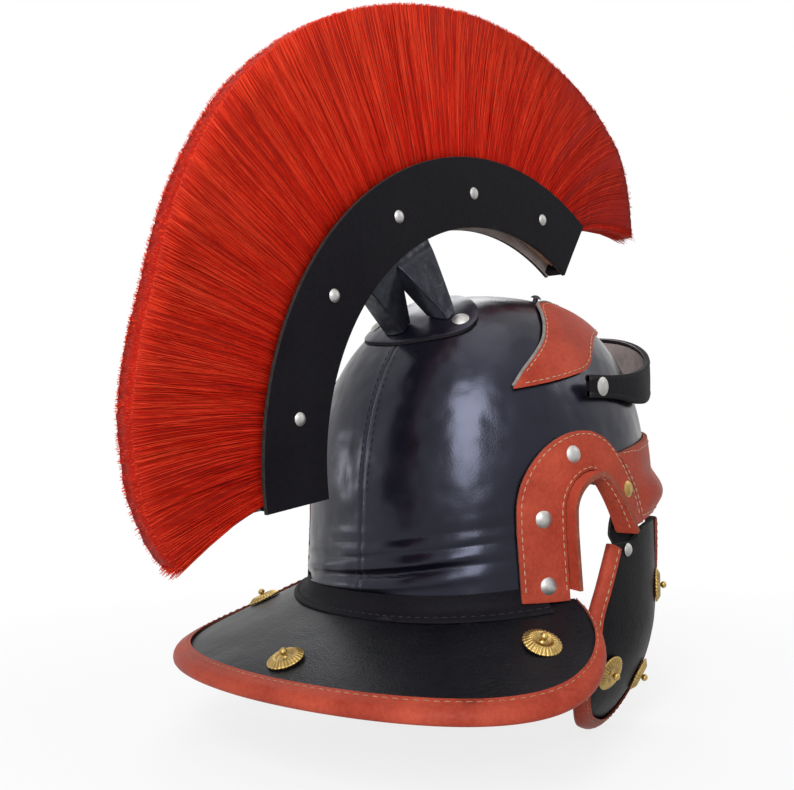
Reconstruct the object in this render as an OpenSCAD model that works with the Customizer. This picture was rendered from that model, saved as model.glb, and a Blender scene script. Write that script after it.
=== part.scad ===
// Leather legionary helmet with a fore-and-aft hair crest, hinged cheek guards and a tilting visor.
// Millimetres. +Z is up, the face looks along -Y and the wearer's right is -X.
// The origin is the centre of the head opening, level with the side edges of the neck guard.
// A bearing is an angle round +Z from the face, positive towards the wearer's right.

/* [Bowl] */
// Half width of the bowl, outside
bowl_half_w = 98; // [90:1:106]
// Reach of the bowl behind its centre, outside
bowl_back = 100; // [92:1:108]
// Reach of the bowl in front of its centre, outside
bowl_front = 104; // [96:1:112]
// Height of the crown above the origin
bowl_top = 190; // [182:1:200]
// Height at which the wall starts to curve in
shoulder_z = 55; // [48:1:62]
// Squareness of the plan, where 2 is an ellipse
plan_power = 2.25; // [2:0.05:2.6]
// Fullness of the dome at the back
dome_back_power = 2.25; // [2.1:0.05:2.7]
// Fullness of the dome at the front
dome_front_power = 2.7; // [2.3:0.05:3]
// Spread of the wall from the shoulder down to the origin's level, as a share
flare = 0.03; // [0:0.01:0.05]
// Thickness of the bowl's leather
bowl_t = 3; // [2:0.5:4]
// Height of the seat where the neck guard meets the bowl at the ears
nape_side_z = 18; // [14:1:22]
// Height of the seat where the neck guard meets the bowl at the back
nape_back_z = 10; // [6:1:13]

/* [Ear openings] */
// Place of the upright rear edge behind the bowl's centre
ear_rear_y = 39.5; // [36:0.5:44]
// Place of the highest point behind the bowl's centre
ear_top_y = 19; // [16:1:23]
// Height of the highest point
ear_top_z = 86; // [80:1:92]
// Height of the round corner between the rear edge and the top
ear_corner_h = 22; // [18:1:26]
// Reach of the slanting front edge in front of the bowl's centre
ear_front_y = 8; // [5:0.5:12]
// Height of the front edge's lower end
ear_front_z = 51.5; // [50:0.5:54]
// Bend of the front edge: 1 is straight, more is rounder at the top
ear_front_bend = 1.35; // [1.15:0.05:1.7]
// Height of the bowl's edge over the face
face_z = 57; // [56:1:62]
// Rise of the bowl's edge over the nose
face_arch = 13; // [6:1:16]

/* [Ear trim] */
// Width of the red ear plate behind the ear
ear_plate_w = 25; // [20:1:28]
// Width of the red ear plate over and in front of the ear
ear_plate_top_w = 21.5; // [16:0.5:25]
// Thickness of the ear plate
ear_plate_t = 2.5; // [1.5:0.5:3]
// Reach of the ear flange out from the bowl
ear_flange_w = 12; // [8:1:15]
// Thickness of the ear flange
ear_flange_t = 3; // [2:0.5:4]
// Gap under the lower end of the flange's rear leg
ear_flange_lift = 4; // [2:0.5:10]

/* [Brow band] */
// Height of the brow band's upper edge over the nose
brow_top_z = 109; // [102:1:112]
// Height at which the brow band's upper edge meets the ear plates
brow_end_z = 93; // [88:1:96]
// Thickness of the brow band
brow_t = 2.5; // [1.5:0.5:3]
// Height of the padded roll over the band
brow_roll_t = 6.5; // [4:0.5:10]
// Distance from the edge of the face to the roll's middle
brow_roll_up = 13; // [11:1:16]
// Height of the roll from edge to edge
brow_roll_h = 28; // [20:1:30]

/* [Forehead patch] */
// Thickness of the forehead patch
patch_t = 1.5; // [1:0.5:3]
// Height of the patch's peak over the nose
patch_peak_z = 153; // [148:1:158]
// Height of the patch's rear edge on the middle line
patch_crown_z = 182; // [176:1:184]
// Distance of each black stud from the middle line
stud_x = 33; // [28:1:36]
// Place of the studs in front of the bowl's centre
stud_ahead = 19; // [17:1:24]
// Radius of the black studs
stud_r = 3.5; // [3:0.1:4]

/* [Neck guard] */
// Reach of the guard behind the bowl
guard_back = 82; // [74:1:96]
// Reach of the guard out from the bowl's side
guard_side = 43; // [36:1:50]
// Place of the guard's widest point behind the bowl's centre
guard_wide_y = 95; // [88:1:100]
// Fall of the guard for each millimetre outwards at the sides
guard_side_fall = 0.48; // [0.38:0.02:0.54]
// Fall of the guard for each millimetre outwards at the back
guard_back_fall = 0.36; // [0.25:0.01:0.4]
// Thickness of the guard
guard_t = 4; // [3:0.5:5]
// Width of the folded edge binding
binding_w = 9; // [6:0.5:11]
// Thickness of the binding's leather
binding_t = 1.5; // [1:0.25:2]

/* [Cheek guards] */
// Thickness of the cheek guard
cheek_t = 3; // [2:0.5:4]
// Height of the cheek guard's upper edge
cheek_top_z = 53.5; // [51:0.5:55]
// Depth of the cheek guard's tip below the origin
cheek_tip_z = 66; // [60:1:72]
// Bearing of the front edge beside the mouth
cheek_front_a = 40; // [36:1:44]
// Bearing of the rear edge at the jaw
cheek_rear_a = 106; // [103:1:109]
// Drawing-in of the guard at 80 mm below the origin, as a share of the bowl's width
cheek_draw = 0.41; // [0.36:0.01:0.44]
// Height of the hinge line
hinge_z = 45.5; // [45:0.1:46]
// Width of the leather hinge tabs
hinge_tab_w = 17; // [14:1:18]
// Thickness of the leather hinge tabs
hinge_tab_t = 2; // [1.5:0.25:2.5]
// Length of the tab on the cheek guard
hinge_tab_l = 14; // [11:1:16]
// Lean of the fixed tab towards the face, in degrees round the bowl
hinge_tab_lean = 20; // [16:1:22]

/* [Visor] */
// Height of the visor strap at its rivets
visor_h = 13; // [12:1:16]
// Drop of the visor's lower edge between its rivets and the front
visor_belly = 3.5; // [0:0.5:6]
// Rise of the visor's lower edge from its rivets to the front
visor_low_rise = 18; // [10:1:24]
// Rise of the visor's upper edge from its rivets to the front
visor_high_rise = 31; // [22:1:36]
// Thickness of the visor strap
visor_t = 3.2; // [2.5:0.1:4]
// Height of the visor's rivets
visor_z = 132; // [128:1:136]
// Reach of the visor in front of its rivets
visor_reach = 121; // [112:1:126]
// Gap between the bowl and the visor strap at its rivets
visor_gap = 3.4; // [3:0.1:6]
// Length of strap behind each rivet
visor_tail = 12; // [8:1:14]

/* [Crest box] */
// Gap from the crown of the bowl up to the crest box
crest_gap = 43.2; // [38:0.2:48]
// Shift of the crest's centre in front of the bowl's centre
crest_shift = 8.3; // [4:0.1:12]
// Radius of the box's inner edge
crest_in_r = 141.5; // [136:0.5:146]
// Depth of the box's side panels
crest_depth = 42.8; // [38:0.2:46]
// Width of the box over its side panels
crest_w = 16.7; // [15:0.1:19]
// Thickness of a side panel
crest_panel_t = 2.6; // [2:0.1:3]
// Angle of the box's front end above the forward line
crest_from = 57; // [54:1:60]
// Angle of the box's rear end, past the backward line
crest_to = 187.5; // [185:0.5:189]
// Recess of the core behind the panels' inner edges
core_recess = 4.5; // [3:0.5:7]
// Depth of the core
core_depth = 23; // [20.5:0.5:24]
// Length of the end caps along the box
cap_l = 5; // [4:0.5:8]

/* [Hair] */
// Depth of the binding strip that the hair is set in
hair_strip_d = 8; // [6:0.5:8.5]
// Length of the hair over the crown, measured from the box
hair_l = 91; // [75:1:100]
// Spread of the hair past the box's front end, in degrees
hair_front_fan = 14; // [9:0.5:15]
// Spread of the hair past the box's rear end, in degrees
hair_back_fan = 4; // [2:0.5:6]
// Width of the hair at its outer edge
hair_tip_w = 16; // [14:1:24]
// Number of separate tufts
tufts = 9;
// Rows of strands along each tuft
strand_rows = 9;
// Strands side by side
strands_wide = 5;

/* [Crest stand] */
// Angle of the front leg's front edge at the box
leg_front_a = 113.5; // [113:0.5:115]
// Angle at which the two legs meet
leg_fork_a = 127; // [125:0.5:129]
// Angle of the rear leg's back edge at the box
leg_rear_a = 138; // [136:0.5:141]
// Place of the front foot behind the bowl's centre
foot_front_y = 53.5; // [50:0.5:56]
// Distance of the front foot to the right of the middle line
foot_front_x = 20; // [16:1:22]
// Place of the rear foot behind the bowl's centre
foot_rear_y = 64; // [61:0.5:66]
// Distance of the rear foot to the left of the middle line
foot_rear_x = 5; // [0:1:10]
// Width of a leg at its foot
leg_foot_w = 15; // [12:1:18]
// Thickness of a leg at its foot
leg_t = 6; // [5:0.5:8]
// Half width of the base plate
base_half_w = 42; // [40:1:44]
// Half length of the base plate
base_half_l = 20.5; // [18:0.5:24]
// Place of the base plate's middle behind the bowl's centre
base_y = 51; // [49:0.5:53]
// Thickness of the base plate
base_t = 2.5; // [2:0.5:4]

/* [Rivets and rosettes] */
// Radius of the crest rivets' heads
crest_rivet_r = 3.8; // [3:0.1:4.5]
// Radius of the ear rivets' heads
ear_rivet_r = 4.8; // [3.5:0.1:5.5]
// Radius of the visor rivets' heads
visor_rivet_r = 5.4; // [4.5:0.1:6]
// Radius of the base plate rivets' heads
base_rivet_r = 5; // [4:0.1:6]
// Height of the rivets' domed heads
rivet_head_h = 2; // [1.2:0.1:2.6]
// Radius of the rivets' shanks
rivet_shank_r = 1.6; // [1.2:0.1:2]
// Radius of the brass rosettes
rosette_r = 10.2; // [8:0.1:11]
// Thickness of a rosette's plate
rosette_t = 1; // [0.8:0.1:1.6]
// Petals round a rosette
petals = 12; // [8:1:16]

/* [Sweatband] */
// Height of the sweatband from edge to edge
band_h = 26; // [20:1:30]
// Thickness of the sweatband
band_t = 2; // [1.5:0.25:2.5]
// Height of the sweatband's lower edge
band_z = 92; // [90:1:96]

/* [Fits] */
// Gap between layers of leather that lie on each other
seat = 0.35; // [0.3:0.05:0.5]
// Radial clearance of a rivet's shank in its hole
shank_slip = 0.08; // [0.05:0.01:0.1]
// Clearance round the two rivets that the visor turns on
turn_slip = 0.3; // [0.25:0.05:0.4]

/* [Hidden] */
$fn = 32;
dome_h = bowl_top - shoulder_z;
crest_out_r = crest_in_r + crest_depth;
crest_y = -crest_shift;
crest_z = bowl_top + crest_gap - crest_in_r;
box_half = crest_w/2 - crest_panel_t;
core_r1 = crest_in_r + core_recess;
core_r2 = core_r1 + core_depth;
crest_rivet_at = core_r1 + core_depth*0.7;
strip_r1 = core_r2 + seat;
strip_r2 = strip_r1 + hair_strip_d;
cap_a = cap_l/crest_in_r*180/PI;
hair_from = crest_from + cap_a + 0.15;
hair_to = crest_to - cap_a - 0.15;
tuft_a = (hair_to - hair_from)/tufts;
crown_from = leg_front_a - 2;
crown_to = leg_rear_a + 2;
crest_rivets_a = [for (i = [0:4]) crest_to - 16 - i*25.1];
ear_plate_off = seat + ear_plate_t;
patch_off = seat + 0.3 + patch_t;
base_off = seat + 0.15;
guard_z_fall = nape_side_z - nape_back_z;
visor_half_w = x_of(0, visor_z) + visor_gap;
visor_y = 2;
band_off = bowl_t + seat + 0.45;
hair_cut = [
    [42, 0.42], [46, 0.56], [50, 0.73], [56, 0.87], [64, 0.92], [83, 0.97], [105, 0.99], [122, 1.02],
    [136, 1.01], [150, 0.93], [160, 0.86], [174, 0.85], [183, 0.78], [190, 0.66], [192, 0.57]
];
patch_low = [
    [0, patch_peak_z], [18, 161], [46, 167], [66, 164], [76, 159.5], [83, 153], [88, 146.5],
    [94, 141.4], [103, 138], [113, 134.6], [122, 132], [127.5, 130.6]
];
patch_high = [
    [0, patch_crown_z], [30, 183.5], [60, 185], [78, 184], [90, 181.5], [98, 175.5], [104, 167.6],
    [110, 158.3], [117, 149], [123, 140.5], [127.5, 131.6]
];
cheek_rear = [
    [-cheek_tip_z, 76], [-cheek_tip_z + 2, 83], [-cheek_tip_z + 8, 94], [-cheek_tip_z + 18, 101],
    [-36, cheek_rear_a - 1], [-24, cheek_rear_a], [-9, cheek_rear_a - 1.5], [7, 103], [22, 99],
    [35, 95.5], [hinge_z - 1.4, 93]
];
cheek_front = [
    [-cheek_tip_z, 68], [-cheek_tip_z + 4, 59], [-cheek_tip_z + 13, 51], [-40, 45],
    [-24, cheek_front_a + 1.5], [-8, cheek_front_a], [8, cheek_front_a + 1.5], [24, 45.5],
    [38, 48.5], [cheek_top_z, 50]
];

// Vectors
function unit(v) = v/norm(v);
function mix(a, b, t) = a + (b - a)*t;
function steps(a, b, n) = [for (i = [0:n]) mix(a, b, i/n)];

// Outline of the bowl in plan, as a radius at a bearing
function plan_r(a) =
    let (side = abs(sin(a))/bowl_half_w, ahead = abs(cos(a))/(cos(a) < 0 ? bowl_back : bowl_front))
    pow(pow(side, plan_power) + pow(ahead, plan_power), -1/plan_power);

// Fullness of the dome, and the share of the plan that is left at a height
function dome_power(a) = mix(dome_back_power, dome_front_power, (1 + cos(a))/2);
function bowl_k(a, z, off) =
    let (p = dome_power(a), t = min(1, (z - shoulder_z)/(dome_h + off)))
    z > shoulder_z ? pow(max(0, 1 - pow(t, p)), 1/p) : 1 + flare*(1 - z/shoulder_z);

// Point at a bearing and height, a distance off the bowl's outside
function on_bowl(a, z, off = 0) =
    let (r = (plan_r(a) + off)*bowl_k(a, z, off))
    [-r*sin(a), -r*cos(a), z];
function bowl_normal(a, z) =
    unit(cross(on_bowl(a, z + 1) - on_bowl(a, z - 1), on_bowl(a + 1, z) - on_bowl(a - 1, z)));

// Bearing of the point of the bowl's right side that is y behind the centre
function x_of(y, z) =
    let (k = bowl_k(90, z, 0), ahead = abs(y)/(y > 0 ? bowl_back : bowl_front))
    bowl_half_w*pow(max(0.001, pow(k, plan_power) - pow(ahead, plan_power)), 1/plan_power);
function bearing(y, z) = atan2(x_of(y, z), -y);
function on_side(y, z, off = 0) = on_bowl(bearing(y, z), z, off);

// Point on top of the dome, over a place in plan
function on_top(x, y, off = 0) =
    let (
        a = atan2(-x, -y), p = dome_power(a),
        k = norm([x, y])/plan_r(a)
    )
    [x, y, shoulder_z + (dome_h + off)*pow(max(0, 1 - pow(k, p)), 1/p)];
function top_normal(x, y) =
    unit(cross(on_top(x + 1, y) - on_top(x - 1, y), on_top(x, y + 1) - on_top(x, y - 1)));

// Height of the bowl's lower edge: over the face, round the ear and down to the nape
function nape_z(y) = nape_side_z - guard_z_fall*min(1, max(0, (y - ear_rear_y)/(bowl_back - ear_rear_y)));
function ear_edge_z(y) = y > ear_top_y
    ? ear_top_z - ear_corner_h*(1 - sqrt(max(0, 1 - pow((y - ear_top_y)/(ear_rear_y - ear_top_y), 2))))
    : ear_top_z - (ear_top_z - ear_front_z)*pow((ear_top_y - y)/(ear_top_y + ear_front_y), ear_front_bend);

// Height of the bowl's edge over the face, arched over the nose and lower towards the ears
ear_front_a = bearing(-ear_front_y, ear_front_z);
face_fall_a = ear_front_a - 23;
function face_edge_z(a) = face_z + face_arch*pow(max(0, cos(min(90, abs(a)*1.6))), 1.5)
    - (face_z - ear_front_z)*min(1, max(0, (abs(a) - face_fall_a)/(ear_front_a - face_fall_a)));

// Ear opening's edge in side view, from its lower rear end over the top to its front end
function ear_edge() = concat(
    [for (z = steps(nape_side_z + 1.5, ear_top_z - ear_corner_h, 5)) [ear_rear_y, z]],
    [for (q = [12:13:90])
        [mix(ear_top_y, ear_rear_y, cos(q)), ear_top_z - ear_corner_h*(1 - sin(q))]],
    [for (i = [1:8]) let (y = mix(ear_top_y, -ear_front_y, i/8)) [y, ear_edge_z(y)]]
);
// Outward direction of that edge at each of its points
function edge_dir(pts, i) =
    let (d = unit(pts[min(len(pts) - 1, i + 1)] - pts[max(0, i - 1)]))
    [d[1], -d[0]];

// Closed shell between two grids of points; the grids have the same rows and columns
module shell(outer, inner, loop = false, tip = false) {
    rows = len(outer) - 1;
    cols = len(outer[0]) - 1;
    i0 = floor(rows/3);
    j0 = floor(cols/2);
    out = cross(outer[i0 + 1][j0] - outer[i0][j0], outer[i0][j0 + 1] - outer[i0][j0])
        *(outer[i0][j0] - inner[i0][j0]) > 0;
    n = (rows + 1)*(cols + 1);
    function o(i, j) = (tip && i == rows ? rows*(cols + 1) : (loop ? i % (rows + 1) : i)*(cols + 1) + j);
    function q(i, j) = o(i, j) + n;
    last = loop ? rows : rows - 1;
    faces = concat(
        [for (i = [0:last], j = [0:cols - 1]) each [
            [o(i, j), o(i + 1, j), o(i + 1, j + 1)], [o(i, j), o(i + 1, j + 1), o(i, j + 1)],
            [q(i, j), q(i + 1, j + 1), q(i + 1, j)], [q(i, j), q(i, j + 1), q(i + 1, j + 1)]]],
        [for (i = [0:last]) each [
            [o(i + 1, 0), o(i, 0), q(i, 0)], [o(i + 1, 0), q(i, 0), q(i + 1, 0)],
            [o(i, cols), o(i + 1, cols), q(i + 1, cols)], [o(i, cols), q(i + 1, cols), q(i, cols)]]],
        loop ? [] : [for (j = [0:cols - 1]) each [
            [o(0, j), o(0, j + 1), q(0, j + 1)], [o(0, j), q(0, j + 1), q(0, j)],
            [o(rows, j + 1), o(rows, j), q(rows, j)], [o(rows, j + 1), q(rows, j), q(rows, j + 1)]]]
    );
    whole = [for (f = faces) if (f[0] != f[1] && f[1] != f[2] && f[0] != f[2])
        out ? [f[2], f[1], f[0]] : f];
    points = concat([for (r = outer) each r], [for (r = inner) each r]);
    polyhedron(points, whole, convexity = 6);
}

// Places children on a surface point, with their +Z along the normal
module stand_on(p, n) translate(p) rotate([0, acos(n[2]), atan2(n[1], n[0])]) children();

// Domed rivet head over a shank that goes down into the leather
module rivet(r, sink) {
    ball = (r*r + rivet_head_h*rivet_head_h)/(2*rivet_head_h);
    intersection() {
        translate([0, 0, rivet_head_h - ball]) sphere(ball, $fn = 64);
        cylinder(r = r + 1, h = rivet_head_h + 1);
    }
    translate([0, 0, -sink]) cylinder(r = rivet_shank_r, h = sink + rivet_head_h/2);
}

// Pressed brass flower with a knob on a stem
module rosette(sink) {
    stem_r = 1.2;
    knob_r = 2;
    difference() {
        cylinder(r = rosette_r, h = rosette_t, $fn = 64);
        for (i = [0:petals - 1])
            rotate(i*360/petals) translate([rosette_r + 0.6, 0, -1]) cylinder(r = 1.5, h = rosette_t + 2);
    }
    cylinder(r1 = rosette_r*0.72, r2 = rosette_r*0.3, h = rosette_t + 1.6);
    cylinder(r = stem_r, h = rosette_t + 3.4);
    translate([0, 0, rosette_t + 3.4]) sphere(knob_r);
    translate([0, 0, -sink]) cylinder(r = stem_r, h = sink + 0.5);
}

module mirrored() mirror([1, 0, 0]) children();

// Bowl half: columns run up from the edge to the crown, close together round the ear
module bowl_half() {
    edge = ear_edge();
    ear = [for (i = [len(edge) - 1:-1:5]) [bearing(edge[i][0], edge[i][1]), edge[i][1]]];
    front_a = ear[0][0] - 1;
    rear_a = ear[len(ear) - 1][0];
    cols = concat(
        [for (a = steps(0, front_a, 12)) [a, face_edge_z(a)]],
        ear,
        [for (a = steps(rear_a, 180, 11)) [a, nape_z(-plan_r(a)*cos(a)) - guard_t - 1]]
    );
    rows = 12;
    function wall(off) = [for (i = [0:rows])
        [for (c = cols) on_bowl(c[0], i == rows ? bowl_top + off : mix(c[1], bowl_top + off, sin(90*i/rows)), off)]];
    shell(wall(0), wall(-bowl_t), tip = true);
}
module bowl_right() color([0.09, 0.09, 0.11]) bowl_half();
module bowl_left() color([0.10, 0.10, 0.12]) mirrored() bowl_half();

// Leather band sewn round the inside of the bowl
module sweatband() {
    function wall(off) = [for (a = [0:7.5:352.5])
        [for (z = steps(band_z, band_z + band_h, 2)) on_bowl(a, z, -off)]];
    color([0.35, 0.22, 0.13]) shell(wall(band_off + band_t), wall(band_off), loop = true);
}

// Plate of the neck guard: q runs along its edge from the right ear over the back to the left ear
function guard_rim(q) =
    let (start = [x_of(ear_rear_y, shoulder_z) + bowl_t, ear_rear_y - 1.5],
        w = q > 180 ? -1 : 1, s = q > 180 ? 360 - q : q,
        x = s < 90 ? mix(start[0], bowl_half_w + guard_side, sin(s)) : (bowl_half_w + guard_side)*sin(s),
        y = s < 90 ? mix(guard_wide_y, start[1], cos(s)) : mix(guard_wide_y, bowl_back + guard_back, -cos(s)))
    [-w*x, y];
function guard_point(q, v, drop = 0) =
    let (e = guard_rim(q), a = atan2(-e[0], -e[1]), back = pow(min(1, (180 - abs(a))/63), 2.2),
        fall = mix(guard_back_fall, guard_side_fall, back), z0 = nape_z(-plan_r(a)*cos(a)),
        p = on_bowl(a, z0 - drop), r0 = norm([p[0], p[1]]) + seat + 0.15,
        r = mix(r0, norm(e), v))
    [-r*sin(a), -r*cos(a), z0 - fall*(r - r0) - drop];
function guard_normal(q, v) =
    unit(cross(guard_point(q, v + 0.05) - guard_point(q, v - 0.05), guard_point(q - 2, v) - guard_point(q + 2, v)));
guard_stations = [for (q = [16:8:344]) q];
function guard_out(q) = let (e = guard_rim(q)) [e[0], e[1], 0]/norm(e);

module neck_guard() {
    function plate(drop) = [for (q = guard_stations)
        [for (v = steps(0, 1, 4)) guard_point(q, v, drop) - binding_t*v*guard_out(q)]];
    color([0.09, 0.09, 0.11]) shell(plate(0), plate(guard_t));
}

// Folded strip that wraps an edge: its section goes over the top, round the edge and back below
module folded_binding(edge, inward, up, t, w) {
    n = len(edge) - 1;
    half = t/2 + seat;
    function row(i, g) =
        let (p = edge[i], a = inward[i], u = up[i], h = half + g)
        [p + a*w + u*h, p + a*(w*0.3) + u*h, p - a*(g + seat) + u*h*0.9, p - a*(g + seat) - u*h*0.9,
            p + a*(w*0.3) - u*h, p + a*w - u*h];
    shell([for (i = [0:n]) row(i, binding_t)], [for (i = [0:n]) row(i, 0)]);
}

module neck_guard_binding() {
    edge = [for (q = guard_stations) guard_point(q, 1, guard_t/2) - binding_t*guard_out(q)];
    inward = [for (q = guard_stations) unit(guard_point(q, 0) - guard_point(q, 1))];
    up = [for (q = guard_stations) [0, 0, 1]];
    color([0.72, 0.25, 0.18]) folded_binding(edge, inward, up, guard_t + seat, binding_w);
}

// Rosettes of the neck guard: one over each shoulder and one at the back
rosette_spots = [[97, 0.43], [180, 0.67], [263, 0.43]];
module neck_rosettes() color([0.72, 0.56, 0.25])
    for (s = rosette_spots)
        stand_on(guard_point(s[0], s[1]) + seat*guard_normal(s[0], s[1]), guard_normal(s[0], s[1]))
            rosette(guard_t);

// Red plate round the ear, following the opening's edge; its front end is cut level
function ear_band_w(n) = mix(ear_plate_top_w, ear_plate_w, max(0, n[0]));
function ear_band_dir(edge, i) =
    let (level = edge[i][0] < ear_top_y ? max(0, 1 - (edge[i][1] - ear_front_z)/14) : 0)
    unit(mix(edge_dir(edge, i), [-1, 0.1], level));
module ear_plate() {
    edge = ear_edge();
    function row(i, off) = let (n = ear_band_dir(edge, i), w = ear_band_w(n))
        [for (v = steps(0, w, 3)) on_side(edge[i][0] + n[0]*v, edge[i][1] + n[1]*v, off)];
    shell([for (i = [0:len(edge) - 1]) row(i, ear_plate_off)], [for (i = [0:len(edge) - 1]) row(i, seat)]);
}
module ear_plate_right() color([0.75, 0.27, 0.20]) ear_plate();
module ear_plate_left() color([0.75, 0.27, 0.20]) mirrored() ear_plate();

// Flange that stands out round the ear, just inside the opening's edge
module ear_flange() {
    edge = ear_edge();
    n = len(edge) - 1;
    function place(i, v, off) =
        let (d = edge_dir(edge, i), lift = i == 0 ? ear_flange_lift : 0,
            p = on_side(edge[i][0], edge[i][1] + lift, off))
        p - v*[0, d[0], d[1]];
    color([0.70, 0.22, 0.16])
        shell(
            [for (i = [0:n]) [for (off = [-bowl_t/2, ear_flange_w*0.5, ear_flange_w]) place(i, seat, off)]],
            [for (i = [0:n]) [for (off = [-bowl_t/2, ear_flange_w*0.5, ear_flange_w])
                place(i, seat + ear_flange_t, off)]]
        );
}
module ear_flange_right() ear_flange();
module ear_flange_left() mirrored() ear_flange();

// Rivets through the ear plates, three a side
ear_rivet_spots = [[ear_rear_y + 12, nape_side_z + 8], [ear_rear_y + 12.5, nape_side_z + 43], [ear_top_y + 13, ear_top_z + 9]];
module plate_rivets(spots, off, r) for (side = [0, 1]) mirror([side, 0, 0])
    for (s = spots) let (a = bearing(s[0], s[1]))
        stand_on(on_bowl(a, s[1], off + seat/2), bowl_normal(a, s[1])) rivet(r, off + bowl_t);
module ear_rivets() color([0.7, 0.7, 0.68]) plate_rivets(ear_rivet_spots, ear_plate_off, ear_rivet_r);

// Rivets where the brow band meets the ear plates
brow_rivet_spots = [[-12, 74]];
module brow_rivets() color([0.62, 0.55, 0.35]) plate_rivets(brow_rivet_spots, ear_plate_off, ear_rivet_r);

// Brow band over the face, with a padded roll, between the two ear plates
function ear_front_line() = let (edge = ear_edge(), n = len(edge) - 1)
    [for (i = [n:-1:n - 7]) let (d = ear_band_dir(edge, i), p = edge[i] + (ear_band_w(d) + 2*seat)*d)
        [bearing(p[0], p[1]), p[1]]];
module brow_band() {
    line = ear_front_line();
    low_a = line[0][0] - 0.2;
    end_a = [for (p = line) if (p[1] < brow_end_z) p[0]];
    last_a = max(end_a);
    function low(a) = a < low_a ? face_edge_z(a) : lookup(a, line);
    function high(a) = let (z = lookup(last_a, line) + 1.5) z + (brow_top_z - z)*pow(max(0, cos(a*90/last_a)), 0.9);
    function roll(a, z) = brow_roll_t*cos(min(90, max(0, abs(a) - 52)*4))
        *pow(max(0, cos(min(90, abs(z - face_edge_z(a) - brow_roll_up)/brow_roll_h*180))), 1.5);
    cols = concat(steps(-last_a, -low_a, 6), steps(-low_a + 0.2, low_a - 0.2, 20), steps(low_a, last_a, 6));
    function sheet(top) = [for (a = cols) [for (v = steps(0, 1, 10))
        let (b = abs(a), z = mix(low(b), high(b), v)) on_bowl(a, z, top ? seat + brow_t + roll(a, z) : seat)]];
    color([0.72, 0.27, 0.20]) shell(sheet(true), sheet(false));
}

// Forehead patch: two brows that meet over the nose and taper to a tail behind each temple
module forehead_patch() {
    cols = concat(steps(-127.5, -80, 8), steps(-72, 72, 14), steps(80, 127.5, 8));
    function sheet(off) = [for (a = cols)
        [for (v = steps(0, 1, 5)) on_bowl(a, mix(lookup(abs(a), patch_low), lookup(abs(a), patch_high), v), off)]];
    color([0.75, 0.27, 0.20]) shell(sheet(patch_off), sheet(patch_off - patch_t));
}

// Black studs on the patch's rear edge, one over each eye
module forehead_studs() color([0.09, 0.09, 0.10]) for (w = [-1, 1])
    let (x = w*stud_x, y = -stud_ahead)
        stand_on(on_top(x, y, patch_off + seat/2), top_normal(x, y)) rivet(stud_r, patch_t + bowl_t);

// Visor: a strap bent round the forehead, on one rivet at each temple, higher at the front
function visor_plan(s, w, l) = s < 0 ? [-w, -s] : [-w*pow(cos(s), 0.86), -l*pow(sin(s), 0.86)];
module visor_strap() {
    side = concat([-visor_tail, -visor_tail/2], steps(0, 80, 12));
    path = concat([for (s = side) [s, 1]], [[90, 1]], [for (i = [len(side) - 1:-1:0]) [side[i], -1]]);
    function face(w, l) = [for (p = path)
        let (e = visor_plan(p[0], w, l), up = sin(max(0, p[0])),
            belly = visor_belly*pow(sin(min(180, 4*max(0, p[0]))), 2),
            low = -visor_h/2 + visor_low_rise*pow(up, 4) - belly, high = visor_h/2 + visor_high_rise*up*up)
        [for (v = [0, 0.5, 1]) [p[1]*e[0], e[1], mix(low, high, v)]]];
    color([0.08, 0.08, 0.09])
        translate([0, visor_y, visor_z]) difference() {
            shell(face(visor_half_w + visor_t, visor_reach), face(visor_half_w, visor_reach - visor_t));
            rotate([0, 90, 0]) cylinder(r = rivet_shank_r + turn_slip, h = 3*visor_half_w, center = true);
        }
}
module visor_rivets() color([0.7, 0.7, 0.7]) for (w = [-1, 1])
    translate([w*(visor_half_w + visor_t + seat), visor_y, visor_z]) rotate([0, w*90, 0]) {
        rivet(visor_rivet_r, visor_t + visor_gap + bowl_t + 2*seat);
        translate([0, 0, -visor_t - 2*seat - visor_gap - 1]) cylinder(r = 3.4, h = visor_gap + 1);
    }

// Frame of the crest: angles run up from the forward line, and heights are distances to the right
module crest_frame() translate([0, crest_y, crest_z]) rotate([90, 0, -90]) children();
module arc_block(r1, r2, a1, a2, w)
    rotate(a1) rotate_extrude(angle = a2 - a1, $fn = 128) translate([r1, -w/2]) square([r2 - r1, w]);
module crest_holes(r) for (a = crest_rivets_a)
    rotate(a) translate([crest_rivet_at, 0, -crest_w]) cylinder(r = r, h = 2*crest_w);

module crest_panel(w) color([0.12, 0.11, 0.13]) crest_frame() difference() {
    translate([0, 0, w*(crest_w - crest_panel_t)/2]) arc_block(crest_in_r, crest_out_r, crest_from, crest_to, crest_panel_t);
    crest_holes(rivet_shank_r + shank_slip);
}
module crest_panel_right() crest_panel(1);
module crest_panel_left() crest_panel(-1);

// Core strips between the panels, in front of and behind the fork
module crest_core(a1, a2) color([0.45, 0.30, 0.18]) crest_frame() difference() {
    arc_block(core_r1, core_r2, a1, a2, 2*box_half - seat);
    crest_holes(rivet_shank_r + shank_slip);
}
module crest_core_front() crest_core(hair_from, crown_from - 0.15);
module crest_core_rear() crest_core(crown_to + 0.15, hair_to);

// End caps that close the box
module crest_cap(a1, a2) color([0.10, 0.10, 0.11]) crest_frame()
    arc_block(crest_in_r + 1, strip_r2, a1, a2, 2*box_half - seat);
module crest_cap_front() crest_cap(crest_from, crest_from + cap_a);
module crest_cap_rear() crest_cap(crest_to - cap_a, crest_to);

// Rivets through the box, with a domed head on each side
module crest_rivets() color([0.75, 0.75, 0.73]) crest_frame() for (a = crest_rivets_a)
    rotate(a) translate([crest_rivet_at, 0, 0]) for (w = [0, 180]) rotate([w, 0, 0])
        translate([0, 0, crest_w/2 + 0.05]) rivet(crest_rivet_r, crest_w/2 + 1);

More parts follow.
